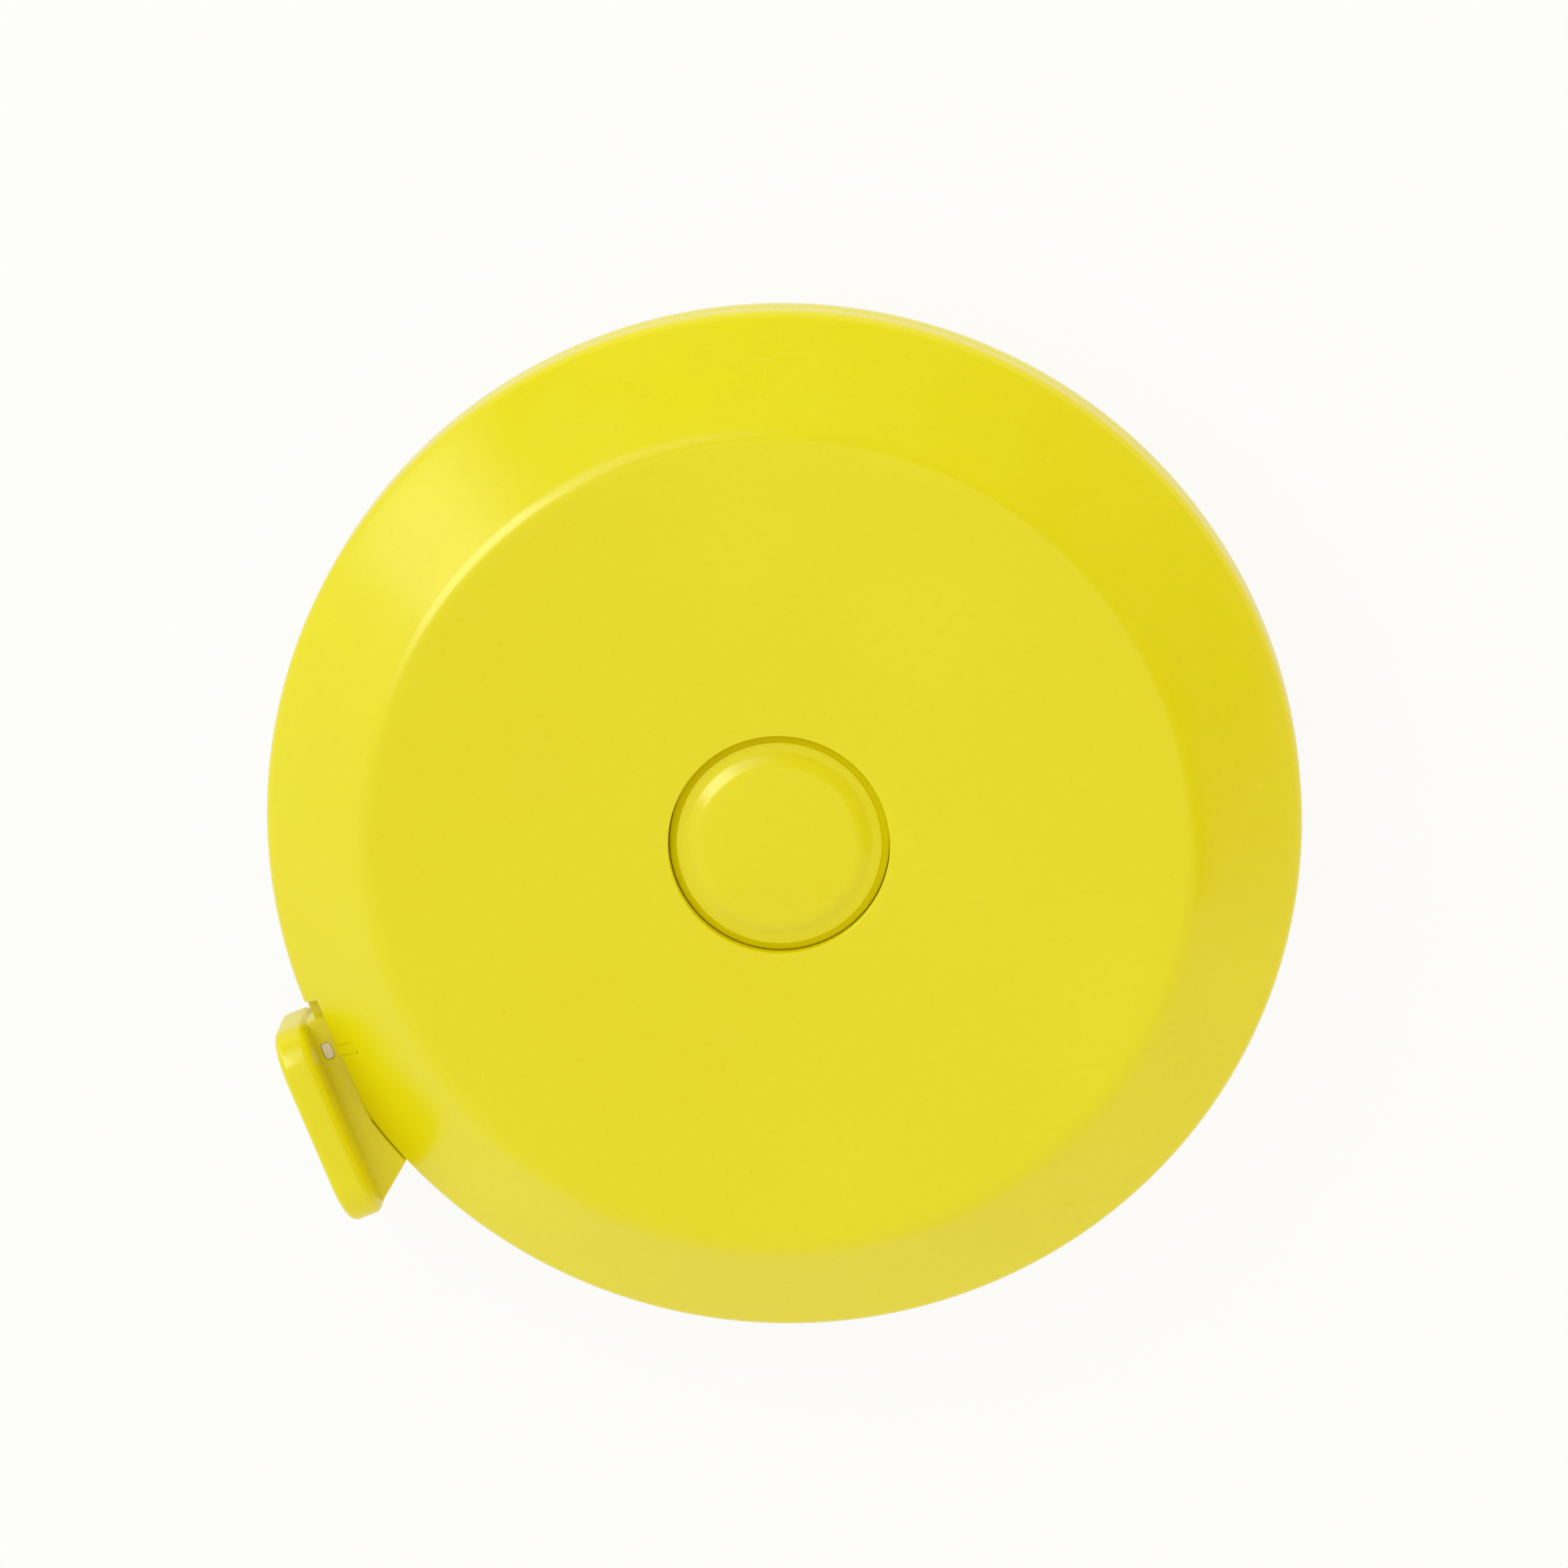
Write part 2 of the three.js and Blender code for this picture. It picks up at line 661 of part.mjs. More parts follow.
// The recessed web fills the wedge between the plate and the casing.
function tabWeb() {
  const nearX = landX + seatGap;
  const nearRadius = caseRadius + seatGap;
  const backX = plateX + plateThickness / 2;
  const endY = plateEnd - webToe;
  const first = Math.acos(nearX / nearRadius);
  const last = Math.asin((endY - webSlant) / nearRadius);
  const steps = Math.ceil((last - first) / arcStep) * bevelSteps;
  const points = [
    new THREE.Vector2(backX, plateStart + webInset),
    new THREE.Vector2(nearX, plateStart + webInset),
  ];
  for (let step = 0; step <= steps; step += 1) {
    const angle = THREE.MathUtils.lerp(first, last, step / steps);
    points.push(new THREE.Vector2(nearRadius, 0).rotateAround(new THREE.Vector2(), angle));
  }
  points.push(new THREE.Vector2(plateX, endY), new THREE.Vector2(backX, endY));
  return raised(points, midZ - webHeight / 2, midZ + webHeight / 2);
}

function pullTab() {
  const half = tapeThickness / 2 + runningGap;
  const slitHalf = tapeWidth / 2 + runningGap;
  const slit = block(landX, plateX + tongueDepth + runningGap, mouthOffset - half, mouthOffset + half,
    midZ - slitHalf, midZ + slitHalf);
  return cut(joined(tabPlate(), tabWeb()), slit);
}

// Assembly

function piece(name, geometry, material) {
  geometry.computeVertexNormals();
  const mesh = new THREE.Mesh(geometry, material);
  mesh.name = name;
  return mesh;
}

function assembly() {
  const tape = new THREE.Group();
  tape.rotation.z = mouthHeading;
  tape.add(
    piece('pull_tab', pullTab(), yellow),
    piece('tape_tongue', tapeTongue(), tapeWhite),
    piece('tape_lead', tapeLead(), tapeWhite),
    piece('tape_guide_pin', guidePin(), steel),
  );

  const whole = new THREE.Group();
  whole.add(
    piece('back_shell', backShell(), yellow),
    piece('front_shell', frontShell(), yellow),
    piece('spindle', spindle(), steel),
    piece('thrust_washer', thrustWasher(), white),
    piece('power_spring', powerSpring(), springSteel),
    piece('spool_drum', spoolDrum(), white),
    piece('spool_flange', spoolFlange(), white),
    piece('spring_cover', springCover(), white),
    piece('tape_coil', tapeCoil(), tapeWhite),
    piece('tape_anchor', tapeAnchor(), black),
    piece('push_button', pushButton(), yellow),
    piece('brake_plate', brakePlate(), black),
    piece('friction_ring', frictionRing(), rubber),
    piece('stem_clip', stemClip(), steel),
    piece('button_spring', buttonSpring(), springSteel),
    tape,
  );
  return whole;
}

export default assembly();
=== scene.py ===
"""A retractable sewing tape in a round yellow casing, lying on a white studio floor."""

import json
import math

import bmesh
import bpy
from mathutils import Matrix, Vector


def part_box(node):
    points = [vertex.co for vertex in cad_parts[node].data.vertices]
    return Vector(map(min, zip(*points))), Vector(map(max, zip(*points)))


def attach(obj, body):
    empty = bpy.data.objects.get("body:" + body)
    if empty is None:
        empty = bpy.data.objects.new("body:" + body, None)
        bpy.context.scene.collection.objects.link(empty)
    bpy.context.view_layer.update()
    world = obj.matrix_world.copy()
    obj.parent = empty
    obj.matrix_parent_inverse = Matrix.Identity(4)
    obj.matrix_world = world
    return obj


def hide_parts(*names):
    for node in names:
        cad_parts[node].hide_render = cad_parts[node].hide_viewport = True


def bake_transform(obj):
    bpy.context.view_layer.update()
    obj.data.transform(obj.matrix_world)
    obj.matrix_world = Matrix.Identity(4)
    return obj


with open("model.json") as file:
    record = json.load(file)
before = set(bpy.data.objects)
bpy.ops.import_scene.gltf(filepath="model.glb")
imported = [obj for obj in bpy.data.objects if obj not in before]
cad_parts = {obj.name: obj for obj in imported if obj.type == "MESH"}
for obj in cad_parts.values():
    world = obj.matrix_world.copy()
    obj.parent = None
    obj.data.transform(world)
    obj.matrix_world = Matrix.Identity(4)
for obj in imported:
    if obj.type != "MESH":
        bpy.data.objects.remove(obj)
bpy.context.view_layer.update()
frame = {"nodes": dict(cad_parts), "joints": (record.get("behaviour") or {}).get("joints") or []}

MM = 0.001
TURN = 2 * math.pi

# Sizes that the frame gives
MID_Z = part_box("back_shell")[1].z
CASE_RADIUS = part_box("back_shell")[1].x
STEM_LOW_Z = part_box("push_button")[0].z
CAP_TOP_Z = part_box("push_button")[1].z
FLANGE_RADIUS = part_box("push_button")[1].x
CLIP_LOW_Z, PLATE_LOW_Z = (corner.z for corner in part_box("stem_clip"))
PLATE_TOP_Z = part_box("brake_plate")[1].z
FLANGE_LOW_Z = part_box("spool_flange")[1].z
TAPE_LOW_Z, TAPE_HIGH_Z = (corner.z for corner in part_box("tape_coil"))
COIL_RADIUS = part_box("tape_coil")[1].x
PULL_AXIS = next(Vector(j["axis"]) for j in frame["joints"] if j["name"] == "tape_pull")
MOUTH_TURN = Matrix.Rotation(math.atan2(PULL_AXIS.y, PULL_AXIS.x), 4, "Z")

# Casing
WALL = 1.2 * MM
BAND_HALF = 1.5 * MM
RIM_ROUND = 1.0 * MM
BEVEL_WIDTH = 5.1 * MM
CREST_ROUND = 1.4 * MM
DISH_DEPTH = 0.45 * MM
HOLE_RADIUS = 5.3 * MM
HOLE_EDGE_ROUND = 0.06 * MM
COLLAR_RADIUS = 6.1 * MM
COLLAR_GAP = 0.05 * MM
SEAM_ROUND = 0.12 * MM
LAP_DEPTH = 0.8 * MM
LAP_GAP = 0.1 * MM
GAP = 0.1 * MM
OVERRUN = 0.5 * MM
BOSS_RADIUS = 2.35 * MM
BOSS_TOP_Z = 2.3 * MM
HEX_SIDES = 6
SEAT_GAP = 3 * GAP

# Button
CAP_RADIUS = 4.93 * MM
CAP_DOME = 0.35 * MM
CAP_SHOULDER_RADIUS = 3.65 * MM
CAP_SHOULDER_ROUND = 1.1 * MM
CAP_SLOPE = math.radians(33)
CAP_RIM_START = 4.42 * MM
CAP_RIM_SLOPE = math.radians(10)
CAP_RIM_ROUND = 0.6 * MM
CAP_EDGE_ROUND = 0.08 * MM
GROOVE_DEPTH = 0.72 * MM
GROOVE_RISE = 0.2 * MM
GROOVE_ROUND = 0.1 * MM
BRIM_RADIUS = 5.26 * MM
BRIM_EDGE_ROUND = 0.02 * MM
FLANGE_THICKNESS = 0.5 * MM
SHOULDER_RADIUS = 3.4 * MM
STEM_RADIUS = 2.4 * MM
CLIP_GROOVE_RADIUS = 1.9 * MM
STEM_EDGE_ROUND = 0.15 * MM
KEY_REACH = 3.3 * MM
KEY_WIDTH = 0.5 * MM
KEY_HEIGHT = 0.9 * MM

# Mouth and finger tab, in the mouth's frame: X out of the mouth, Y along the tab
LAND_DEPTH = 0.8 * MM
LAND_X = CASE_RADIUS - LAND_DEPTH
LAND_START = -0.5 * MM
TAPE_Y = 2.2 * MM
TAPE_THICKNESS = 0.35 * MM
TAPE_HALF = (TAPE_HIGH_Z - TAPE_LOW_Z) / 2
SLOT_HALF = 0.3 * MM
SLOT_GAP = 0.15 * MM
PIN_RADIUS = 0.8 * MM
PIN_INSET = 3.2 * MM
PIN_X = LAND_X - PIN_INSET
WRAP_RADIUS = PIN_RADIUS + GAP + TAPE_THICKNESS / 2
PIN_Y = TAPE_Y - WRAP_RADIUS
PIN_BOSS_RADIUS = 1.5 * MM
PIN_BOSS_HALF = 3.3 * MM
PIN_BOSS_SHARE = 0.97
PIN_SOCKET_HALF = 3.85 * MM
PLATE_GAP = 0.32 * MM
PLATE_X = CASE_RADIUS + PLATE_GAP
PLATE_THICKNESS = 1.65 * MM
PLATE_START = 0.35 * MM
PLATE_END = 10.45 * MM
PLATE_HALF = 3.8 * MM
PLATE_CORNER = 2.2 * MM
PLATE_EDGE_ROUND = 0.4 * MM
WEB_HALF = 1.3 * MM
WEB_INSET = 0.2 * MM
WEB_TOE = 0.3 * MM
WEB_SLANT = 1.45 * MM
WEB_GAP = 0.04 * MM
WEB_EDGE_ROUND = 0.1 * MM
FOOT_GAP = 0.1 * MM
FOOT_START = LAND_START + FOOT_GAP
FOOT_HALF = 0.6 * MM
FOOT_INSET = 0.05 * MM
NOSE_REACH = 0.95 * MM
NOSE_HALF = 0.285 * MM
NOSE_SEAT = 0.1 * MM
TAPER_LENGTH = 1.0 * MM
TONGUE_HALF = 1.0 * MM
HEM_REACH = 0.68 * MM
HEM_X = LAND_X + HEM_REACH
HEM_WIDTH = 0.5 * MM
HEM_LENGTH = 0.84 * MM
HEM_HALF = 1.29 * MM
HEM_ROUND = 0.2 * MM
HEM_EDGE_ROUND = 0.04 * MM
HEM_GAP = 0.02 * MM
COIL_GAP = 0.3 * MM
COIL_TURNS = 17
COIL_SLACK = 0.02 * MM

# How finely the pieces are faceted
SHELL_SEGMENTS = 256
CAP_SEGMENTS = 192
CAP_STEPS = 12
ARC_STEP = math.radians(7)
LONGEST_SIDE = 1.2 * MM
COIL_STEPS = 120
LEAD_STEPS = 80
WEB_STEPS = 24
POST_SIDES = 64
CARD_STEPS = 24
WELD = 1e-7
SMOOTH_BELOW = math.radians(35)
EDGE_SEGMENTS = 3
EDGE_ABOVE = math.radians(40)
INNER_EDGE_ROUND = 0.04 * MM
INNER_EDGE_SEGMENTS = 2
INNER_EDGE_ABOVE = math.radians(50)

# Camera. It looks a little above the middle of the disc, which so lies low in the picture.
CAMERA_TILT = math.radians(12)
CAMERA_SWING = math.radians(2.4)
LENS = 200
SENSOR = 36
FRAME_WIDTH = 75.88 * MM
LOOK_UP = 1.64 * MM
LOOK_RIGHT = -0.01 * MM
CLIP_SHARES = (0.05, 200)


# Camera

def make_camera():
    """A long lens over the front of the casing, tilted and swung a little off its axis."""
    right = Vector((math.cos(CAMERA_SWING), 0, -math.sin(CAMERA_SWING)))
    flat = Vector((math.sin(CAMERA_SWING), 0, math.cos(CAMERA_SWING)))
    back = flat * math.cos(CAMERA_TILT) + Vector((0, math.sin(CAMERA_TILT), 0))
    up = back.cross(right)
    distance = FRAME_WIDTH * LENS / SENSOR
    data = bpy.data.cameras.new("camera")
    data.lens = LENS
    data.sensor_width = SENSOR
    data.clip_start, data.clip_end = (distance * share for share in CLIP_SHARES)
    camera = bpy.data.objects.new("camera", data)
    bpy.context.scene.collection.objects.link(camera)
    camera.matrix_world = Matrix((right, up, back)).transposed().to_4x4()
    camera.location = Vector((0, 0, MID_Z)) + up * LOOK_UP + right * LOOK_RIGHT + back * distance
    bpy.context.scene.camera = camera


# Meshes

def made(name, bm):
    """A new object from a bmesh whose faces all point out."""
    bmesh.ops.recalc_face_normals(bm, faces=bm.faces)
    mesh = bpy.data.meshes.new(name)
    bm.to_mesh(mesh)
    bm.free()
    piece = bpy.data.objects.new(name, mesh)
    bpy.context.scene.collection.objects.link(piece)
    return piece


def outline(corners):
    """The points of a closed outline. Each corner is (x, y) or (x, y, radius of its round)."""
    points = []
    for i, corner in enumerate(corners):
        here = Vector(corner[:2])
        radius = corner[2] if len(corner) > 2 else 0
        if radius == 0:
            points.append(here)
            continue
        back = Vector(corners[i - 1][:2]) - here
        on = Vector(corners[(i + 1) % len(corners)][:2]) - here
        room = min(back.length, on.length) / 2
        back.normalize()
        on.normalize()
        half = back.angle(on) / 2
        reach = min(radius / math.tan(half), room)
        used = reach * math.tan(half)
        centre = here + (back + on).normalized() * used / math.sin(half)
        first = here + back * reach - centre
        last = here + on * reach - centre
        sweep = math.atan2(first.x * last.y - first.y * last.x, first.dot(last))
        steps = max(1, math.ceil(abs(sweep) / ARC_STEP))
        for step in range(steps + 1):
            points.append(centre + Matrix.Rotation(sweep * step / steps, 2) @ first)
    return points


def refined(points):
    """The same closed outline with its long sides cut into short ones."""
    finer = []
    for i, here in enumerate(points):
        on = points[(i + 1) % len(points)]
        count = max(1, math.ceil((on - here).length / LONGEST_SIDE))
        finer.extend(here.lerp(on, k / count) for k in range(count))
    return finer


def turned(name, section, segments):
    """A solid turned about Z from its closed half section of (radius, height) points."""
    bm = bmesh.new()
    rings = []
    for turn in range(segments):
        spin = Matrix.Rotation(TURN * turn / segments, 3, "Z")
        rings.append([bm.verts.new(spin @ Vector((point.x, 0, point.y))) for point in section])
    for i, ring in enumerate(rings):
        following = rings[(i + 1) % segments]
        for j in range(len(section)):
            k = (j + 1) % len(section)
            bm.faces.new((ring[j], ring[k], following[k], following[j]))
    bmesh.ops.remove_doubles(bm, verts=bm.verts, dist=WELD)
    return made(name, bm)


def prism(name, points, low, high):
    """An outline in X and Y, raised from one height to another."""
    bm = bmesh.new()
    floor = [bm.verts.new((p.x, p.y, low)) for p in points]
    roof = [bm.verts.new((p.x, p.y, high)) for p in points]
    for i in range(len(points)):
        k = (i + 1) % len(points)
        bm.faces.new((floor[i], floor[k], roof[k], roof[i]))
    bm.faces.new(list(reversed(floor)))
    bm.faces.new(roof)
    return made(name, bm)


def block(name, low, high):
    """A box between two corners."""
    corners = [(low.x, low.y), (high.x, low.y), (high.x, high.y), (low.x, high.y)]
    return prism(name, [Vector(c) for c in corners], low.z, high.z)


def post(name, x, y, radius, low, high, sides=POST_SIDES):
    """A round or many-sided post along Z."""
    angles = [TURN * i / sides for i in range(sides)]
    points = [Vector((x + radius * math.cos(a), y + radius * math.sin(a))) for a in angles]
    return prism(name, points, low, high)


def at_mouth(piece):
    """Turns a piece made in the mouth's frame to its place on the casing."""
    piece.data.transform(MOUTH_TURN)
    return piece


def evaluated(piece):
    """Puts a piece's modifiers into its mesh."""
    graph = bpy.context.evaluated_depsgraph_get()
    mesh = bpy.data.meshes.new_from_object(piece.evaluated_get(graph))
    piece.modifiers.clear()
    piece.data = mesh
    return piece


def combined(piece, other, operation):
    """Joins, cuts or intersects a piece with another, which is used up."""
    step = piece.modifiers.new("combine", "BOOLEAN")
    step.operation = operation
    step.solver = "EXACT"
    step.object = other
    evaluated(piece)
    bpy.data.objects.remove(other)
    return piece


def softened(piece, width):
    """Rounds the sharp edges of a piece."""
    step = piece.modifiers.new("round", "BEVEL")
    step.width = width
    step.segments = EDGE_SEGMENTS
    step.limit_method = "ANGLE"
    step.angle_limit = EDGE_ABOVE
    step.use_clamp_overlap = True
    return evaluated(piece)


def smoothed(piece):
    """Shades a piece smooth, but for its sharp edges."""
    bm = bmesh.new()
    bm.from_mesh(piece.data)
    for face in bm.faces:
        face.smooth = True
    for edge in bm.edges:
        edge.smooth = len(edge.link_faces) == 2 and edge.calc_face_angle() < SMOOTH_BELOW
    bm.to_mesh(piece.data)
    bm.free()
    return piece


def dressed(piece, material):
    """Gives a piece one material."""
    piece.data.materials.clear()
    piece.data.materials.append(material)
    return piece


def dress_inner(node, material):
    """Gives a node of the frame its material and slightly rounded edges."""
    piece = frame["nodes"][node]
    dressed(piece, material)
    weld = piece.modifiers.new("weld", "WELD")
    weld.merge_threshold = WELD
    edges = piece.modifiers.new("round", "BEVEL")
    edges.width = INNER_EDGE_ROUND
    edges.segments = INNER_EDGE_SEGMENTS
    edges.limit_method = "ANGLE"
    edges.angle_limit = INNER_EDGE_ABOVE


# Casing

def outer_corners(side, inner_radius, inner_z):
    """Corners of the outer face from the middle out to the seam, with heights from the seam."""
    return [
        (inner_radius, side * inner_z),
        (CASE_RADIUS - BEVEL_WIDTH, side * MID_Z, CREST_ROUND),
        (CASE_RADIUS, side * BAND_HALF, RIM_ROUND),
        (CASE_RADIUS, 0),
    ]


def inner_corners(side, inner_radius, inner_z):
    """The same corners one wall further in, from the seam back to the middle."""
    slope = math.atan2(MID_Z - inner_z, CASE_RADIUS - BEVEL_WIDTH - inner_radius)
    bevel = math.atan2(BAND_HALF - MID_Z, BEVEL_WIDTH)
    tilt = slope - bevel
    middle = slope - tilt / 2 - TURN / 4
    crest_reach = WALL / math.cos(tilt / 2)
    rim_tilt = TURN / 4 + bevel
    return [
        (CASE_RADIUS - WALL, side * (BAND_HALF - WALL * math.tan(rim_tilt / 2))),
        (CASE_RADIUS - BEVEL_WIDTH + crest_reach * math.cos(middle),
         side * (MID_Z + crest_reach * math.sin(middle)), CREST_ROUND / 2),
        (inner_radius, side * (inner_z - WALL / math.cos(slope))),
    ]


def collar_corners(radius, height):
    """The collar under the hole's edge, which the button's brim slides in."""
    foot = FLANGE_LOW_Z + FLANGE_THICKNESS + COLLAR_GAP - MID_Z
    return [(COLLAR_RADIUS, height), (COLLAR_RADIUS, foot), (radius, foot)]


def shell_section(side):
    """The half section of the front shell, side 1, or of the back shell, side -1."""
    front = side > 0
    inner_radius = HOLE_RADIUS if front else 0
    inner_z = MID_Z - DISH_DEPTH if front else MID_Z
    edge, crest, rim, _ = outer_corners(side, inner_radius, inner_z)
    lap = CASE_RADIUS - WALL / 2 - side * LAP_GAP / 2
    lip = -LAP_DEPTH if front else -LAP_DEPTH - LAP_GAP
    corners = [
        (*edge, HOLE_EDGE_ROUND) if front else edge,
        crest,
        rim,
        (CASE_RADIUS, 0, SEAM_ROUND),
        (lap, 0),
        (lap, lip),
        (CASE_RADIUS - WALL, lip),
        *inner_corners(side, inner_radius, inner_z),
    ]
    if front:
        corners += collar_corners(*corners.pop())
    return [p + Vector((0, MID_Z)) for p in refined(outline(corners))]


def envelope(side, share=1):
    """The space inside the outer face on one side of the seam, or the same form at a share of its size."""
    corners = [*outer_corners(side, 0, MID_Z), (0, 0)]
    section = [p * share + Vector((0, MID_Z)) for p in outline(corners)]
    return turned("envelope", section, SHELL_SEGMENTS)


def add_pin_boss(shell, side):
    """The boss that holds one end of the guide pin. It ends a little inside the casing's outer face."""
    low, high = sorted((side * PIN_BOSS_HALF, side * MID_Z))
    boss = at_mouth(post("boss", PIN_X, PIN_Y, PIN_BOSS_RADIUS, MID_Z + low, MID_Z + high))
    combined(shell, combined(boss, envelope(side, PIN_BOSS_SHARE), "INTERSECT"), "UNION")
    low, high = sorted((0, side * PIN_SOCKET_HALF))
    socket = post("socket", PIN_X, PIN_Y, PIN_RADIUS + GAP, MID_Z + low, MID_Z + high)
    combined(shell, at_mouth(socket), "DIFFERENCE")


def cut_mouth(shell):
    """The flat on the rim that the tab rests against, and the slot for the tape."""
    out_x = CASE_RADIUS + OVERRUN
    roof_z = 2 * MID_Z + OVERRUN
    land = block("land", Vector((LAND_X, LAND_START, -OVERRUN)), Vector((out_x, CASE_RADIUS, roof_z)))
    combined(shell, at_mouth(land), "DIFFERENCE")
    slot = block("slot", Vector((PIN_X, TAPE_Y - SLOT_HALF, TAPE_LOW_Z - SLOT_GAP)),
                 Vector((out_x, TAPE_Y + SLOT_HALF, TAPE_HIGH_Z + SLOT_GAP)))
    combined(shell, at_mouth(slot), "DIFFERENCE")


def add_spindle_seat(shell):
    """The ring that the thrust washer runs on, and the six-sided boss of the spindle."""
    washer_low, washer_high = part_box("thrust_washer")
    inner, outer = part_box("spindle")[1].x + SEAT_GAP, washer_high.x
    corners = [(inner, WALL / 2), (outer, WALL / 2), (outer, washer_low.z), (inner, washer_low.z)]
    combined(shell, turned("ring", outline(corners), CAP_SEGMENTS), "UNION")
    combined(shell, post("boss", 0, 0, BOSS_RADIUS, WALL / 2, BOSS_TOP_Z, HEX_SIDES), "UNION")


def make_shell(name, side, material):
    """The front shell, side 1, or the back shell, side -1."""
    shell = turned(name, shell_section(side), SHELL_SEGMENTS)
    add_pin_boss(shell, side)
    cut_mouth(shell)
    if side < 0:
        add_spindle_seat(shell)
    return dressed(smoothed(shell), material)


# Button

def arc(centre, radius, start, end):
    """Points of one of the cap's arcs, from one angle to another."""
    angles = [start + (end - start) * step / CAP_STEPS for step in range(CAP_STEPS + 1)]
    return [(centre[0] + radius * math.cos(a), centre[1] + radius * math.sin(a)) for a in angles]


def cap_top():
    """The corners of the cap's outline from its edge in: groove, rim, slope, shoulder and dome."""
    dome_radius = (CAP_RADIUS ** 2 + CAP_DOME ** 2) / (2 * CAP_DOME)
    dome_z = CAP_TOP_Z - dome_radius
    start = math.asin(CAP_SHOULDER_RADIUS / dome_radius)
    steep = TURN / 4 - CAP_SLOPE
    inner = dome_radius - CAP_SHOULDER_ROUND
    shoulder_centre = (inner * math.sin(start), dome_z + inner * math.cos(start))
    shoulder = arc(shoulder_centre, CAP_SHOULDER_ROUND, steep, TURN / 4 - start)
    rim_z = shoulder[0][1] - (CAP_RIM_START - shoulder[0][0]) * math.tan(CAP_SLOPE)
    edge_z = rim_z - (CAP_RADIUS - CAP_RIM_START) * math.tan(CAP_RIM_SLOPE)
    groove_z = 2 * MID_Z - DISH_DEPTH - GROOVE_DEPTH
    groove = [(BRIM_RADIUS, groove_z, BRIM_EDGE_ROUND), (CAP_RADIUS, groove_z + GROOVE_RISE, GROOVE_ROUND)]
    rim = [(CAP_RADIUS, edge_z, CAP_EDGE_ROUND), (CAP_RIM_START, rim_z, CAP_RIM_ROUND)]
    dome = arc((0, dome_z), dome_radius, TURN / 4 - start, TURN / 4)
    return [*groove, *rim, *shoulder, *dome[1:-1], (0, CAP_TOP_Z)]


def make_button(material):
    """The button: its stem with the clip's groove, its flange, its cap and the key at its foot."""
    flange_top_z = FLANGE_LOW_Z + FLANGE_THICKNESS
    corners = [
        (0, STEM_LOW_Z),
        (STEM_RADIUS, STEM_LOW_Z, STEM_EDGE_ROUND),
        (STEM_RADIUS, CLIP_LOW_Z),
        (CLIP_GROOVE_RADIUS, CLIP_LOW_Z),
        (CLIP_GROOVE_RADIUS, PLATE_LOW_Z),
        (STEM_RADIUS, PLATE_LOW_Z),
        (STEM_RADIUS, PLATE_TOP_Z),
        (SHOULDER_RADIUS, PLATE_TOP_Z),
        (SHOULDER_RADIUS, FLANGE_LOW_Z),
        (FLANGE_RADIUS, FLANGE_LOW_Z, STEM_EDGE_ROUND),
        (FLANGE_RADIUS, flange_top_z, STEM_EDGE_ROUND),
        (BRIM_RADIUS, flange_top_z),
        *cap_top(),
    ]
    button = turned("release_button", refined(outline(corners)), CAP_SEGMENTS)
    key = block("key", Vector((-KEY_REACH, -KEY_WIDTH / 2, STEM_LOW_Z)),
                Vector((0, KEY_WIDTH / 2, STEM_LOW_Z + KEY_HEIGHT)))
    combined(button, key, "UNION")
    return dressed(smoothed(button), material)


def make_return_spring(material):
    """The button's spring, as a piece of its own."""
    bm = bmesh.new()
    bm.from_mesh(frame["nodes"]["button_spring"].data)
    bmesh.ops.remove_doubles(bm, verts=bm.verts, dist=WELD)
    return dressed(smoothed(made("return_spring", bm)), material)


# Finger tab

def plate_layers():
    """The plate from its inner face out, as (x, inset of its outline there), with both edges round."""
    steps = math.ceil(TURN / 4 / ARC_STEP)
    sweep = [TURN / 4 * k / steps for k in range(steps + 1)]
    near = PLATE_X + PLATE_EDGE_ROUND
    far = PLATE_X + PLATE_THICKNESS - PLATE_EDGE_ROUND
    layers = [(near - PLATE_EDGE_ROUND * math.cos(a), PLATE_EDGE_ROUND * (1 - math.sin(a))) for a in sweep]
    layers += [(far + PLATE_EDGE_ROUND * math.sin(a), PLATE_EDGE_ROUND * (1 - math.cos(a))) for a in sweep]
    return layers


def tab_plate():
    """A plate with round corners and round edges, standing along Y."""
    x, y = (PLATE_END - PLATE_START) / 2, PLATE_HALF
    face = outline([(a, b, PLATE_CORNER) for a, b in ((-x, -y), (x, -y), (x, y), (-x, y))])
    middle_y = (PLATE_START + PLATE_END) / 2
    bm = bmesh.new()
    rings = []
    for depth, inset in plate_layers():
        wide, high = (x - inset) / x, (y - inset) / y
        rings.append([bm.verts.new((depth, middle_y + p.x * wide, MID_Z + p.y * high)) for p in face])
    for near, on in zip(rings, rings[1:]):
        for j in range(len(face)):
            k = (j + 1) % len(face)
            bm.faces.new((near[j], near[k], on[k], on[j]))
    bm.faces.new(rings[0])
    bm.faces.new(rings[-1])
    return made("finger_tab", bm)


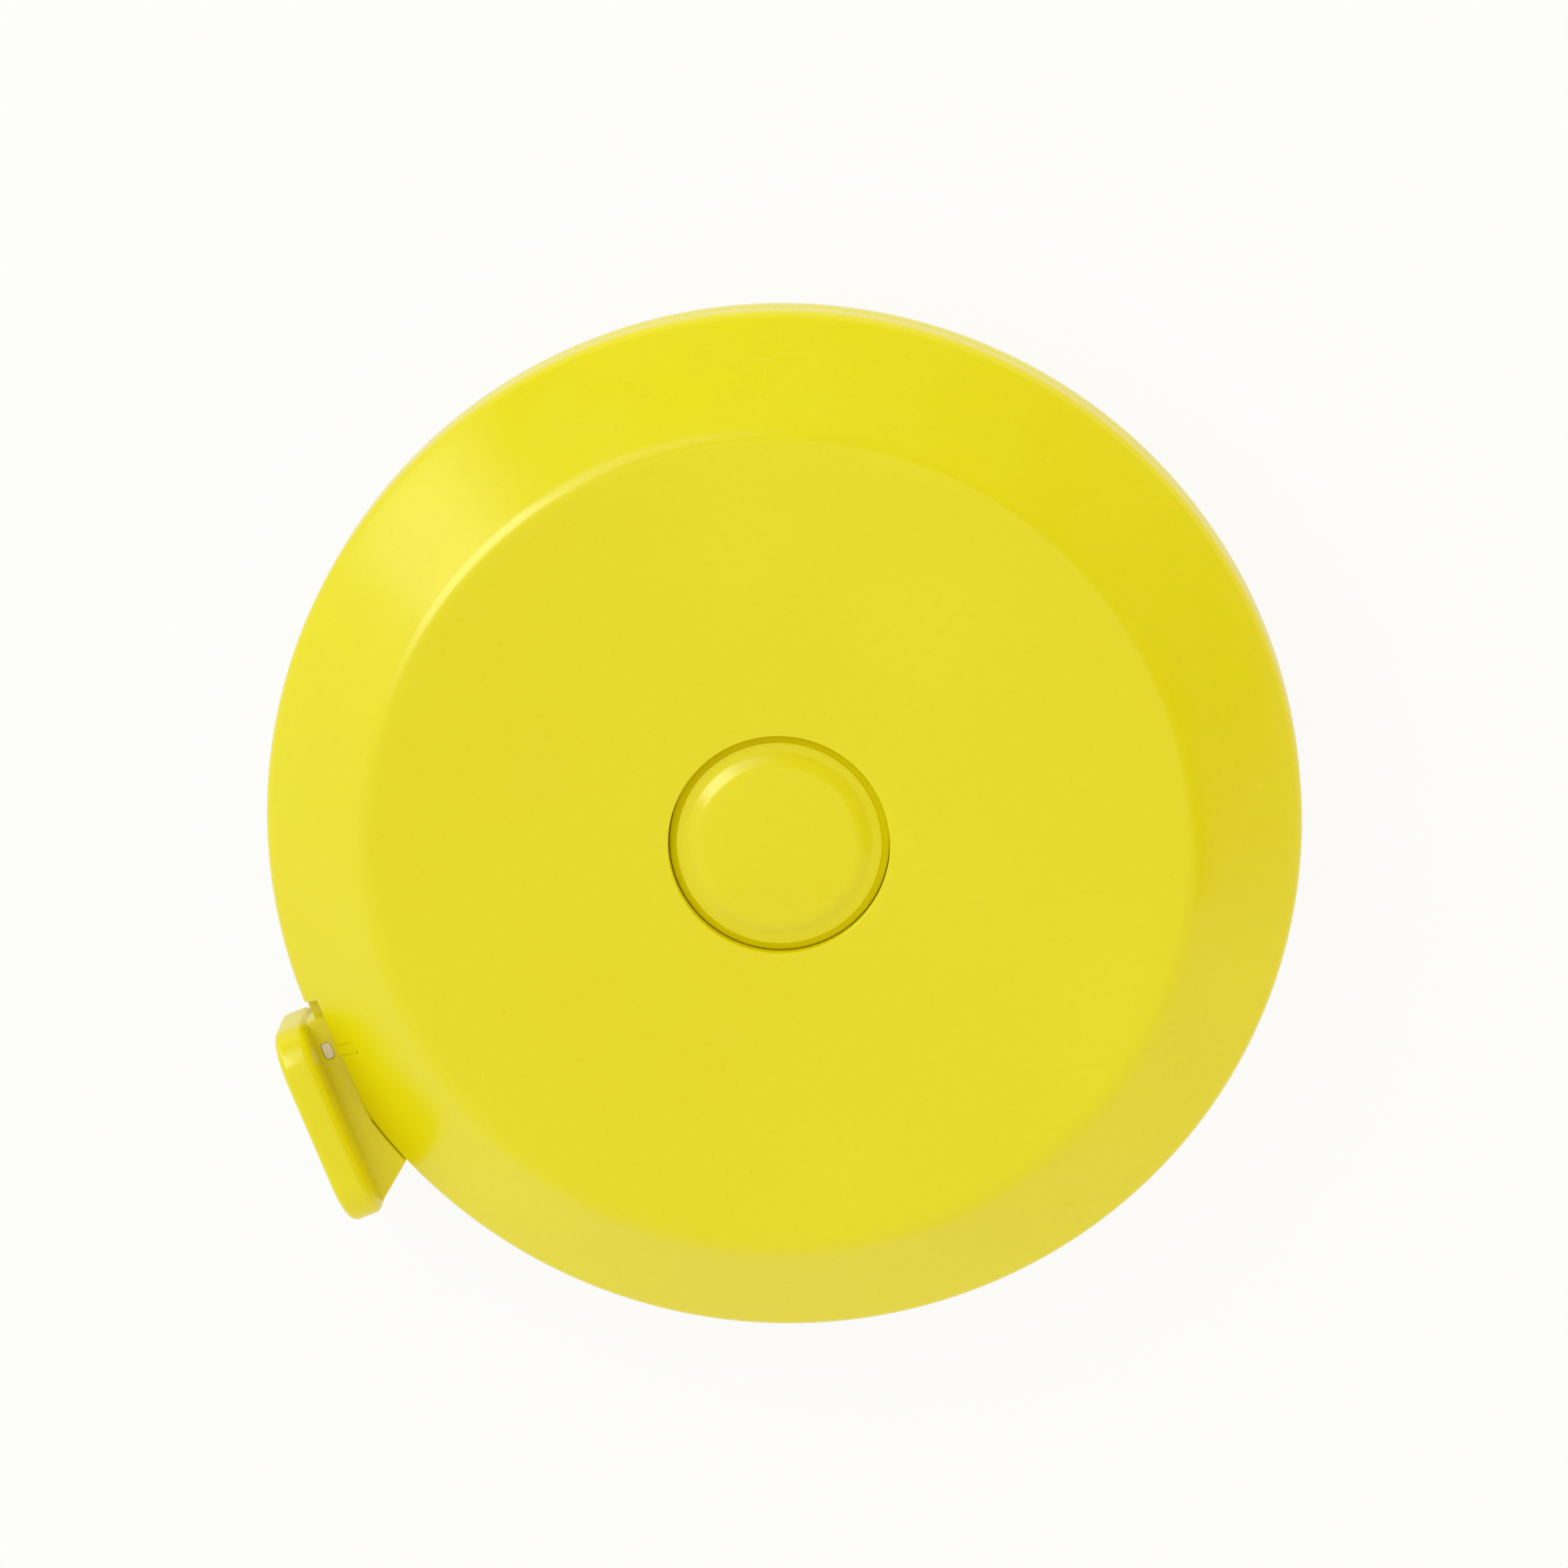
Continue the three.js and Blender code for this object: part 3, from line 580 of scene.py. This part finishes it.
def tab_web():
    """The recessed web that fills the wedge between the plate and the casing, and a foot at its start."""
    near_x = LAND_X + WEB_GAP
    near_radius = CASE_RADIUS + WEB_GAP
    back_x = PLATE_X + PLATE_THICKNESS / 2
    end_y = PLATE_END - WEB_TOE
    first = math.acos(near_x / near_radius)
    last = math.asin((end_y - WEB_SLANT) / near_radius)
    points = [Vector((back_x, PLATE_START + WEB_INSET)), Vector((near_x, PLATE_START + WEB_INSET))]
    for step in range(WEB_STEPS + 1):
        angle = first + (last - first) * step / WEB_STEPS
        points.append(Vector((math.cos(angle), math.sin(angle))) * near_radius)
    points += [Vector((PLATE_X, end_y)), Vector((back_x, end_y))]
    web = softened(prism("web", points, MID_Z - WEB_HALF, MID_Z + WEB_HALF), WEB_EDGE_ROUND)
    foot = block("foot", Vector((near_x, FOOT_START, MID_Z - FOOT_HALF)),
                 Vector((CASE_RADIUS - FOOT_INSET, PLATE_START + 2 * WEB_INSET, MID_Z + FOOT_HALF)))
    return combined(web, foot, "UNION")


def add_nose(tab):
    """The nose that fills the slot's end at rest. It lies flush with the casing's face."""
    for side in (1, -1):
        low, high = sorted((0, side * MID_Z))
        nose = block("nose", Vector((LAND_X - NOSE_REACH, TAPE_Y - NOSE_HALF, MID_Z + low)),
                     Vector((LAND_X + WEB_GAP + NOSE_SEAT, TAPE_Y + NOSE_HALF, MID_Z + high)))
        combined(tab, combined(nose, envelope(side), "INTERSECT"), "UNION")


def hem_outline(grown):
    """The rounded outline of the tape's hem, or with a gap round it, of its hole."""
    x, y = HEM_WIDTH / 2 + grown, HEM_LENGTH / 2 + grown
    corners = [(-x, -y), (x, -y), (x, y), (-x, y)]
    return outline([(HEM_X + a, TAPE_Y + b, HEM_ROUND + grown) for a, b in corners])


def make_tab(material):
    """The finger tab in one piece, with the hole that the tape's hem sits in."""
    tab = combined(tab_plate(), tab_web(), "UNION")
    add_nose(tab)
    combined(tab, prism("hole", hem_outline(HEM_GAP), 0, 2 * MID_Z), "DIFFERENCE")
    return dressed(smoothed(at_mouth(tab)), material)


# Tape

def strip(name, points, thickness, half_width):
    """A closed strip of tape on edge, which follows a line of points in X and Y."""
    bm = bmesh.new()
    sections = []
    for i, here in enumerate(points):
        along = points[min(i + 1, len(points) - 1)] - points[max(i - 1, 0)]
        side = Vector((-along.y, along.x)).normalized() * thickness / 2
        left, right = here + side, here - side
        low, high = MID_Z - half_width(here), MID_Z + half_width(here)
        corners = [(left, low), (right, low), (right, high), (left, high)]
        sections.append([bm.verts.new((p.x, p.y, z)) for p, z in corners])
    for near, on in zip(sections, sections[1:]):
        for j in range(len(near)):
            k = (j + 1) % len(near)
            bm.faces.new((near[j], near[k], on[k], on[j]))
    bm.faces.new(sections[0])
    bm.faces.new(list(reversed(sections[-1])))
    return made(name, bm)


def lead_start():
    """The radius at which the tape leaves the coil, and its heading there in the mouth's frame."""
    line_radius = COIL_RADIUS + COIL_GAP + TAPE_THICKNESS / 2
    pin = Vector((PIN_X, PIN_Y))
    bend = math.atan2(PIN_Y, PIN_X) + math.asin((line_radius + WRAP_RADIUS) / pin.length)
    return line_radius, bend


def lead_half_width(point):
    """The tape is trimmed narrower at its end, from inside the mouth on."""
    share = (point.x - LAND_X + TAPER_LENGTH) / TAPER_LENGTH
    return TAPE_HALF + (TONGUE_HALF - TAPE_HALF) * min(max(share, 0), 1)


def make_hem(material):
    """The rolled end of the tape, which holds it in the tab."""
    hem = prism("tape_hem", hem_outline(0), MID_Z - HEM_HALF, MID_Z + HEM_HALF)
    return dressed(smoothed(at_mouth(softened(hem, HEM_EDGE_ROUND))), material)


def make_lead(material):
    """The free tape: off the coil, round the guide pin, through the mouth and into the tab."""
    line_radius, bend = lead_start()
    pin = Vector((PIN_X, PIN_Y))
    start = Vector((math.sin(bend), -math.cos(bend))) * line_radius
    steps = math.ceil(bend / ARC_STEP) * 2
    wrap = []
    for step in range(steps + 1):
        heading = bend * (1 - step / steps) + TURN / 4
        wrap.append(pin + Vector((math.cos(heading), math.sin(heading))) * WRAP_RADIUS)
    end = Vector((HEM_X, TAPE_Y))
    straight = [wrap[-1].lerp(end, k / LEAD_STEPS) for k in range(1, LEAD_STEPS + 1)]
    lead = strip("tape_strip", [start, *wrap, *straight], TAPE_THICKNESS, lead_half_width)
    return dressed(smoothed(at_mouth(lead)), material)


def make_winding(material):
    """The wound tape, as one spiral from the hub out."""
    _, bend = lead_start()
    pitch = TAPE_THICKNESS
    outer_line = COIL_RADIUS - pitch / 2
    last = bend - TURN / 4 + MOUTH_TURN.to_euler().z
    points = []
    total = COIL_TURNS * COIL_STEPS
    for step in range(total + 1):
        back = total - step
        angle = last - TURN * back / COIL_STEPS
        radius = outer_line - pitch * back / COIL_STEPS
        points.append(Vector((math.cos(angle), math.sin(angle))) * radius)
    winding = strip("tape_winding", points, pitch - COIL_SLACK, lambda point: TAPE_HALF)
    return dressed(smoothed(winding), material)


# Materials

LEMON = (0.85, 0.76, 0.0030)
LEMON_LIGHT = (0.87, 0.795, 0.0040)
LEMON_SPECK = (0.81, 0.70, 0.0025)
IVORY = (0.74, 0.72, 0.64)
IVORY_LIGHT = (0.82, 0.80, 0.73)
SOOT = (0.022, 0.022, 0.024)
SOOT_LIGHT = (0.045, 0.045, 0.048)
RUBBER_BLACK = (0.016, 0.016, 0.017)
DUST = (0.05, 0.048, 0.046)
CREAM = (0.88, 0.82, 0.70)
STAIN = (0.82, 0.75, 0.60)
INK = (0.02, 0.02, 0.022)
THREAD_SPACING = 0.25 * MM
# Printed marks: how far apart they are, how far they reach across, and half their width
TAPE_MARKS = ((1 * MM, 1.5 * MM, 0.13 * MM), (5 * MM, 2.3 * MM, 0.16 * MM), (10 * MM, 3.2 * MM, 0.2 * MM))


def put(tree, node, key, value):
    """Sets a node's input, or links it where the value is another node's output."""
    if isinstance(value, bpy.types.NodeSocket):
        tree.links.new(value, node.inputs[key])
    else:
        node.inputs[key].default_value = value


def added(tree, kind, inputs=None, **settings):
    """A new node with its settings and inputs."""
    node = tree.nodes.new(kind)
    for key, value in settings.items():
        setattr(node, key, value)
    for key, value in (inputs or {}).items():
        put(tree, node, key, value)
    return node


class Nodes:
    """A material's node tree, built by short calls."""

    SOCKETS = {"color": "Base Color", "rough": "Roughness", "normal": "Normal", "metal": "Metallic",
               "specular": "Specular IOR Level"}

    def __init__(self, name):
        self.material = bpy.data.materials.new(name)
        self.material.use_nodes = True
        self.tree = self.material.node_tree
        self.shader = self.tree.nodes["Principled BSDF"]
        self.object = self.add("ShaderNodeTexCoord").outputs["Object"]

    def add(self, kind, inputs=None, **settings):
        return added(self.tree, kind, inputs, **settings)

    def noise(self, scale, detail=2.0, roughness=0.5, vector=None):
        """A noise from 0 to 1. Its scale is how many waves it has in a metre."""
        inputs = {"Vector": vector or self.object, "Scale": scale, "Detail": detail, "Roughness": roughness}
        return self.add("ShaderNodeTexNoise", inputs).outputs["Fac"]

    def math(self, operation, first, second=0.0, clamp=False):
        node = self.add("ShaderNodeMath", {0: first, 1: second}, operation=operation, use_clamp=clamp)
        return node.outputs[0]

    def remap(self, value, low, high, to_low=0.0, to_high=1.0):
        """A value stretched from one range to another, and held at its ends."""
        inputs = {"Value": value, "From Min": low, "From Max": high, "To Min": to_low, "To Max": to_high}
        return self.add("ShaderNodeMapRange", inputs).outputs["Result"]

    def reach(self, apart):
        """How far a point with separate X and Y is from the Z axis."""
        squares = [self.math("POWER", apart[key], 2.0) for key in ("X", "Y")]
        return self.math("SQRT", self.math("ADD", *squares))

    def blend(self, factor, first, second):
        """A colour between two, which are colours or sockets."""
        node = self.add("ShaderNodeMix", {"Factor": factor}, data_type="RGBA")
        for key, value in (("A", first), ("B", second)):
            socket = next(s for s in node.inputs if s.name == key and s.type == "RGBA")
            if isinstance(value, bpy.types.NodeSocket):
                self.tree.links.new(value, socket)
            else:
                socket.default_value = (*value, 1)
        return next(s for s in node.outputs if s.type == "RGBA")

    def bump(self, height, strength, distance, under=None):
        """A normal with a relief, over another one if that is given."""
        inputs = {"Height": height, "Strength": strength, "Distance": distance}
        if under is not None:
            inputs["Normal"] = under
        return self.add("ShaderNodeBump", inputs).outputs["Normal"]

    def finish(self, **inputs):
        """Gives the shader its inputs, and returns the material."""
        for key, value in inputs.items():
            put(self.tree, self.shader, self.SOCKETS[key], value)
        return self.material


def scratches(nodes, scale, width):
    """A mask of fine hairline scratches: 1 on a scratch."""
    wander = nodes.add("ShaderNodeTexNoise", {"Vector": nodes.object, "Scale": 90.0}).outputs["Color"]
    bent = nodes.add("ShaderNodeMixRGB", {"Fac": 0.004, "Color1": nodes.object, "Color2": wander})
    inputs = {"Vector": bent.outputs[0], "Scale": scale}
    cells = nodes.add("ShaderNodeTexVoronoi", inputs, feature="DISTANCE_TO_EDGE")
    line = nodes.remap(cells.outputs["Distance"], 0.0, width, to_low=1.0, to_high=0.0)
    patches = nodes.remap(nodes.noise(140.0, detail=3.0), 0.5, 0.68)
    return nodes.math("MULTIPLY", line, patches, clamp=True)


def yellow_plastic():
    """Glossy moulded plastic with faint flow marks, fine grain and light handling wear."""
    nodes = Nodes("yellow_plastic")
    flow = nodes.remap(nodes.noise(55.0, detail=3.0, roughness=0.55), 0.35, 0.65)
    speck = nodes.remap(nodes.noise(2600.0), 0.56, 0.72, to_high=0.25)
    color = nodes.blend(speck, nodes.blend(flow, LEMON, LEMON_LIGHT), LEMON_SPECK)
    wear = scratches(nodes, scale=420.0, width=0.012)
    haze = nodes.remap(nodes.noise(210.0, detail=4.0, roughness=0.6), 0.3, 0.7, to_low=0.18, to_high=0.26)
    rough = nodes.math("ADD", haze, nodes.math("MULTIPLY", wear, 0.10))
    peel = nodes.bump(nodes.noise(520.0), strength=0.10, distance=0.02 * MM)
    grain = nodes.bump(nodes.noise(5200.0), strength=0.10, distance=0.006 * MM, under=peel)
    cut = nodes.math("MULTIPLY", wear, -1.0)
    normal = nodes.bump(cut, strength=0.06, distance=0.006 * MM, under=grain)
    return nodes.finish(color=color, rough=rough, normal=normal, specular=0.4)


def spool_plastic():
    """White moulded plastic with a satin skin."""
    nodes = Nodes("spool_plastic")
    cloud = nodes.remap(nodes.noise(120.0, detail=3.0), 0.35, 0.65)
    rough = nodes.remap(nodes.noise(600.0, detail=3.0), 0.3, 0.7, to_low=0.38, to_high=0.52)
    normal = nodes.bump(nodes.noise(3800.0), strength=0.25, distance=0.01 * MM)
    return nodes.finish(color=nodes.blend(cloud, IVORY, IVORY_LIGHT), rough=rough, normal=normal)


def dark_plastic():
    """Black plastic with a fine spark-eroded grain."""
    nodes = Nodes("dark_plastic")
    cloud = nodes.remap(nodes.noise(900.0), 0.4, 0.7)
    rough = nodes.remap(nodes.noise(700.0, detail=3.0), 0.3, 0.7, to_low=0.45, to_high=0.62)
    normal = nodes.bump(nodes.noise(4500.0, detail=3.0), strength=0.4, distance=0.01 * MM)
    return nodes.finish(color=nodes.blend(cloud, SOOT, SOOT_LIGHT), rough=rough, normal=normal)


def rubber():
    """Matt black rubber with a little dust."""
    nodes = Nodes("soft_rubber")
    dust = nodes.remap(nodes.noise(1500.0, detail=4.0), 0.5, 0.75)
    rough = nodes.remap(dust, 0.0, 1.0, to_low=0.75, to_high=0.9)
    normal = nodes.bump(nodes.noise(6000.0, detail=3.0), strength=0.5, distance=0.01 * MM)
    return nodes.finish(color=nodes.blend(dust, RUBBER_BLACK, DUST), rough=rough, normal=normal)


def steel(name, dark, light, smoothest, roughest):
    """Metal with fine turning lines round Z and soft smears."""
    nodes = Nodes(name)
    apart = nodes.add("ShaderNodeSeparateXYZ", {"Vector": nodes.object}).outputs
    rings = nodes.add("ShaderNodeCombineXYZ", {"X": nodes.reach(apart), "Y": apart["Z"], "Z": 0.0})
    turning = nodes.noise(9000.0, detail=1.0, vector=rings.outputs[0])
    smear = nodes.remap(nodes.noise(400.0, detail=3.0), 0.3, 0.7)
    rough = nodes.remap(turning, 0.3, 0.7, to_low=smoothest, to_high=roughest)
    normal = nodes.bump(turning, strength=0.2, distance=0.004 * MM)
    return nodes.finish(color=nodes.blend(smear, dark, light), rough=rough, normal=normal, metal=1.0)


def tape_marks(nodes, along, across):
    """A mask of printed marks: 1 on a line. Both coordinates are in metres."""
    total = None
    for spacing, reach, half in TAPE_MARKS:
        place = nodes.math("FRACT", nodes.math("DIVIDE", along, spacing))
        off = nodes.math("ABSOLUTE", nodes.math("SUBTRACT", place, 0.5))
        line = nodes.math("GREATER_THAN", off, 0.5 - half / spacing)
        mark = nodes.math("MULTIPLY", line, nodes.math("LESS_THAN", across, reach))
        total = mark if total is None else nodes.math("MAXIMUM", total, mark)
    return total


def coated_tape(name, wound):
    """Coated cloth tape with printed millimetre, half-centimetre and centimetre marks."""
    nodes = Nodes(name)
    apart = nodes.add("ShaderNodeSeparateXYZ", {"Vector": nodes.object}).outputs
    across = nodes.math("SUBTRACT", apart["Z"], TAPE_LOW_Z)
    if wound:
        along = nodes.math("MULTIPLY", nodes.math("ARCTAN2", apart["Y"], apart["X"]), nodes.reach(apart))
    else:
        dot = nodes.add("ShaderNodeVectorMath", {0: nodes.object, 1: PULL_AXIS}, operation="DOT_PRODUCT")
        along = dot.outputs["Value"]
    pace = TURN / THREAD_SPACING
    waves = [nodes.math("SINE", nodes.math("MULTIPLY", way, pace)) for way in (along, across)]
    cloth = nodes.blend(nodes.remap(nodes.noise(90.0, detail=4.0), 0.35, 0.7), CREAM, STAIN)
    color = nodes.blend(tape_marks(nodes, along, across), cloth, INK)
    rough = nodes.remap(nodes.noise(800.0, detail=3.0), 0.3, 0.7, to_low=0.42, to_high=0.58)
    normal = nodes.bump(nodes.math("ADD", *waves), strength=0.15, distance=0.01 * MM)
    return nodes.finish(color=color, rough=rough, normal=normal)


# Floor and light

FLOOR_SIZE = 80
FLOOR_DROP = 0.02 * MM
FLOOR_COLOR = (0.96, 0.96, 0.96, 1)
FLOOR_WHITE_SHARE = 0.88
FLOOR_MIRRORED_SHARE = 0.35
MATT = 0.9
WHITE_LIGHT = (1, 1, 1, 1)
ZENITH_FILL = 0.64
HORIZON_FILL = 1.2
WARM_SIDE = (0.97, -0.24, 0.0)
WARM_COLOR = (1.0, 0.84, 0.62, 1)
WARM_START = -0.1
WARM_END = 0.9
CARD_RADIUS = 0.7
CARD_COLOR = (0.015, 0.014, 0.012, 1)


def seen(tree, direct=1.0, mirrored=1.0):
    """One value for the camera's rays, one for those that a glossy or clear surface sends on, or 0."""
    path = added(tree, "ShaderNodeLightPath").outputs
    total = None
    for ray, value in (("Camera", direct), ("Glossy", mirrored), ("Transmission", mirrored)):
        inputs = {0: path[f"Is {ray} Ray"], 1: value}
        share = added(tree, "ShaderNodeMath", inputs, operation="MULTIPLY").outputs[0]
        if total is None:
            total = share
        else:
            total = added(tree, "ShaderNodeMath", {0: total, 1: share}, operation="MAXIMUM").outputs[0]
    return total


def make_floor():
    """A wide pale floor. From the camera it is mostly even white, under a soft shadow of the object."""
    bm = bmesh.new()
    half = FLOOR_SIZE / 2
    corners = ((-half, -half), (half, -half), (half, half), (-half, half))
    bm.faces.new([bm.verts.new((x, y, -FLOOR_DROP)) for x, y in corners])
    floor = made("floor", bm)
    nodes = Nodes("white_floor")
    nodes.finish(color=FLOOR_COLOR, rough=MATT, specular=0.0)
    white = nodes.add("ShaderNodeEmission", {"Color": WHITE_LIGHT, "Strength": 1.0})
    share = seen(nodes.tree, FLOOR_WHITE_SHARE, FLOOR_MIRRORED_SHARE)
    mix = nodes.add("ShaderNodeMixShader", {0: share, 1: nodes.shader.outputs[0], 2: white.outputs[0]})
    put(nodes.tree, nodes.tree.nodes["Material Output"], "Surface", mix.outputs[0])
    floor.data.materials.append(nodes.material)


def make_world():
    """White where it is seen. As a light it is soft, brighter low down, and warm from the right."""
    world = bpy.data.worlds.new("studio")
    world.use_nodes = True
    bpy.context.scene.world = world
    tree = world.node_tree
    heading = added(tree, "ShaderNodeTexCoord").outputs["Generated"]
    height = added(tree, "ShaderNodeSeparateXYZ", {"Vector": heading}).outputs["Z"]
    side = added(tree, "ShaderNodeVectorMath", {0: heading, 1: WARM_SIDE}, operation="DOT_PRODUCT")
    shown = seen(tree)
    fill = added(tree, "ShaderNodeMapRange", {
        "Value": height, "To Min": HORIZON_FILL, "To Max": ZENITH_FILL})
    warmth = added(tree, "ShaderNodeMapRange", {
        "Value": side.outputs["Value"], "From Min": WARM_START, "From Max": WARM_END})
    tint = added(tree, "ShaderNodeMixRGB", {
        "Fac": warmth.outputs["Result"], "Color1": WHITE_LIGHT, "Color2": WARM_COLOR})
    color = added(tree, "ShaderNodeMixRGB", {
        "Fac": shown, "Color1": tint.outputs["Color"], "Color2": WHITE_LIGHT})
    strength = added(tree, "ShaderNodeMapRange", {
        "Value": shown, "To Min": fill.outputs["Result"], "To Max": 1.0})
    background = tree.nodes["Background"]
    put(tree, background, "Color", color.outputs["Color"])
    put(tree, background, "Strength", strength.outputs["Result"])


def toward(azimuth, elevation):
    """The direction from the object to a place in the studio. Azimuth is counted from +X."""
    a, e = math.radians(azimuth), math.radians(elevation)
    return Vector((math.cos(a) * math.cos(e), math.sin(a) * math.cos(e), math.sin(e)))


def dark_card(name, azimuths, elevations):
    """A curved black card that only shows in reflections."""
    first, last = azimuths
    spread = [first + (last - first) * k / CARD_STEPS for k in range(CARD_STEPS + 1)]
    bm = bmesh.new()
    low, high = ([bm.verts.new(toward(a, e) * CARD_RADIUS) for a in spread] for e in elevations)
    for k in range(CARD_STEPS):
        bm.faces.new((low[k], low[k + 1], high[k + 1], high[k]))
    card = made(name, bm)
    card.data.materials.append(Nodes(name).finish(color=CARD_COLOR, rough=MATT, specular=0.0))
    for kind in ("camera", "diffuse", "transmission", "shadow", "volume_scatter"):
        setattr(card, "visible_" + kind, False)


def lamp(name, azimuth, elevation, distance, width, height, radiance, only_mirrored=False):
    """A softbox aimed at the object. Its radiance is 1 where it looks white."""
    data = bpy.data.lights.new(name, "AREA")
    data.shape = "RECTANGLE"
    data.size = width
    data.size_y = height
    data.energy = radiance * math.pi * width * height
    light = bpy.data.objects.new(name, data)
    bpy.context.scene.collection.objects.link(light)
    back = toward(azimuth, elevation)
    light.rotation_mode = "QUATERNION"
    light.rotation_quaternion = back.to_track_quat("Z", "Y")
    light.location = back * distance
    light.visible_diffuse = not only_mirrored


# Assembly

make_camera()
make_world()
make_floor()
lamp("key", azimuth=132, elevation=42, distance=0.8, width=0.6, height=0.4, radiance=1.4)
lamp("glint", azimuth=138, elevation=38, distance=0.6, width=0.46, height=0.36, radiance=5.0,
     only_mirrored=True)
lamp("low_glint", azimuth=150, elevation=9, distance=0.6, width=0.18, height=0.16, radiance=2.4,
     only_mirrored=True)
dark_card("dark_card", azimuths=(-20, 135), elevations=(0.3, 70))

YELLOW = yellow_plastic()
WHITE = spool_plastic()
BLACK = dark_plastic()
RUBBER = rubber()
STEEL = steel("turned_steel", dark=(0.52, 0.53, 0.55), light=(0.66, 0.67, 0.69),
              smoothest=0.22, roughest=0.36)
SPRING_STEEL = steel("spring_steel", dark=(0.22, 0.24, 0.28), light=(0.36, 0.38, 0.43),
                     smoothest=0.25, roughest=0.4)
TAPE = coated_tape("coated_tape", wound=False)
WOUND_TAPE = coated_tape("wound_tape", wound=True)

front = make_shell("front_cover", 1, YELLOW)
back = make_shell("rear_cover", -1, YELLOW)
button = make_button(YELLOW)
tab = make_tab(YELLOW)
lead = make_lead(TAPE)
hem = make_hem(TAPE)
winding = make_winding(WOUND_TAPE)

# Pieces that ride one body
for piece, body, slot, nodes in (
    (front, "case", "case_plastic", ["front_shell"]),
    (back, "case", "case_plastic", ["back_shell"]),
    (button, "button", "case_plastic", ["push_button"]),
    (tab, "tape_end", "case_plastic", ["pull_tab"]),
    (winding, "spool", "tape", ["tape_coil"]),
):
    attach(piece, body)
    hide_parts(*nodes)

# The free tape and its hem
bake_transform(lead)
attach(hem, "tape_end")
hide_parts("tape_lead", "tape_tongue")

# The button's spring, as a piece of its own
spring = make_return_spring(SPRING_STEEL)
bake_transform(spring)
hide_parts("button_spring")

# Nodes of the frame that keep their own mesh
INNER = {
    "spindle": STEEL, "thrust_washer": WHITE, "power_spring": SPRING_STEEL, "spool_drum": WHITE,
    "spool_flange": WHITE, "spring_cover": WHITE, "tape_anchor": BLACK, "brake_plate": BLACK,
    "friction_ring": RUBBER, "stem_clip": STEEL, "tape_guide_pin": STEEL,
}

for node, material in INNER.items():
    dress_inner(node, material)

bpy.context.scene.view_settings.view_transform = "Standard"
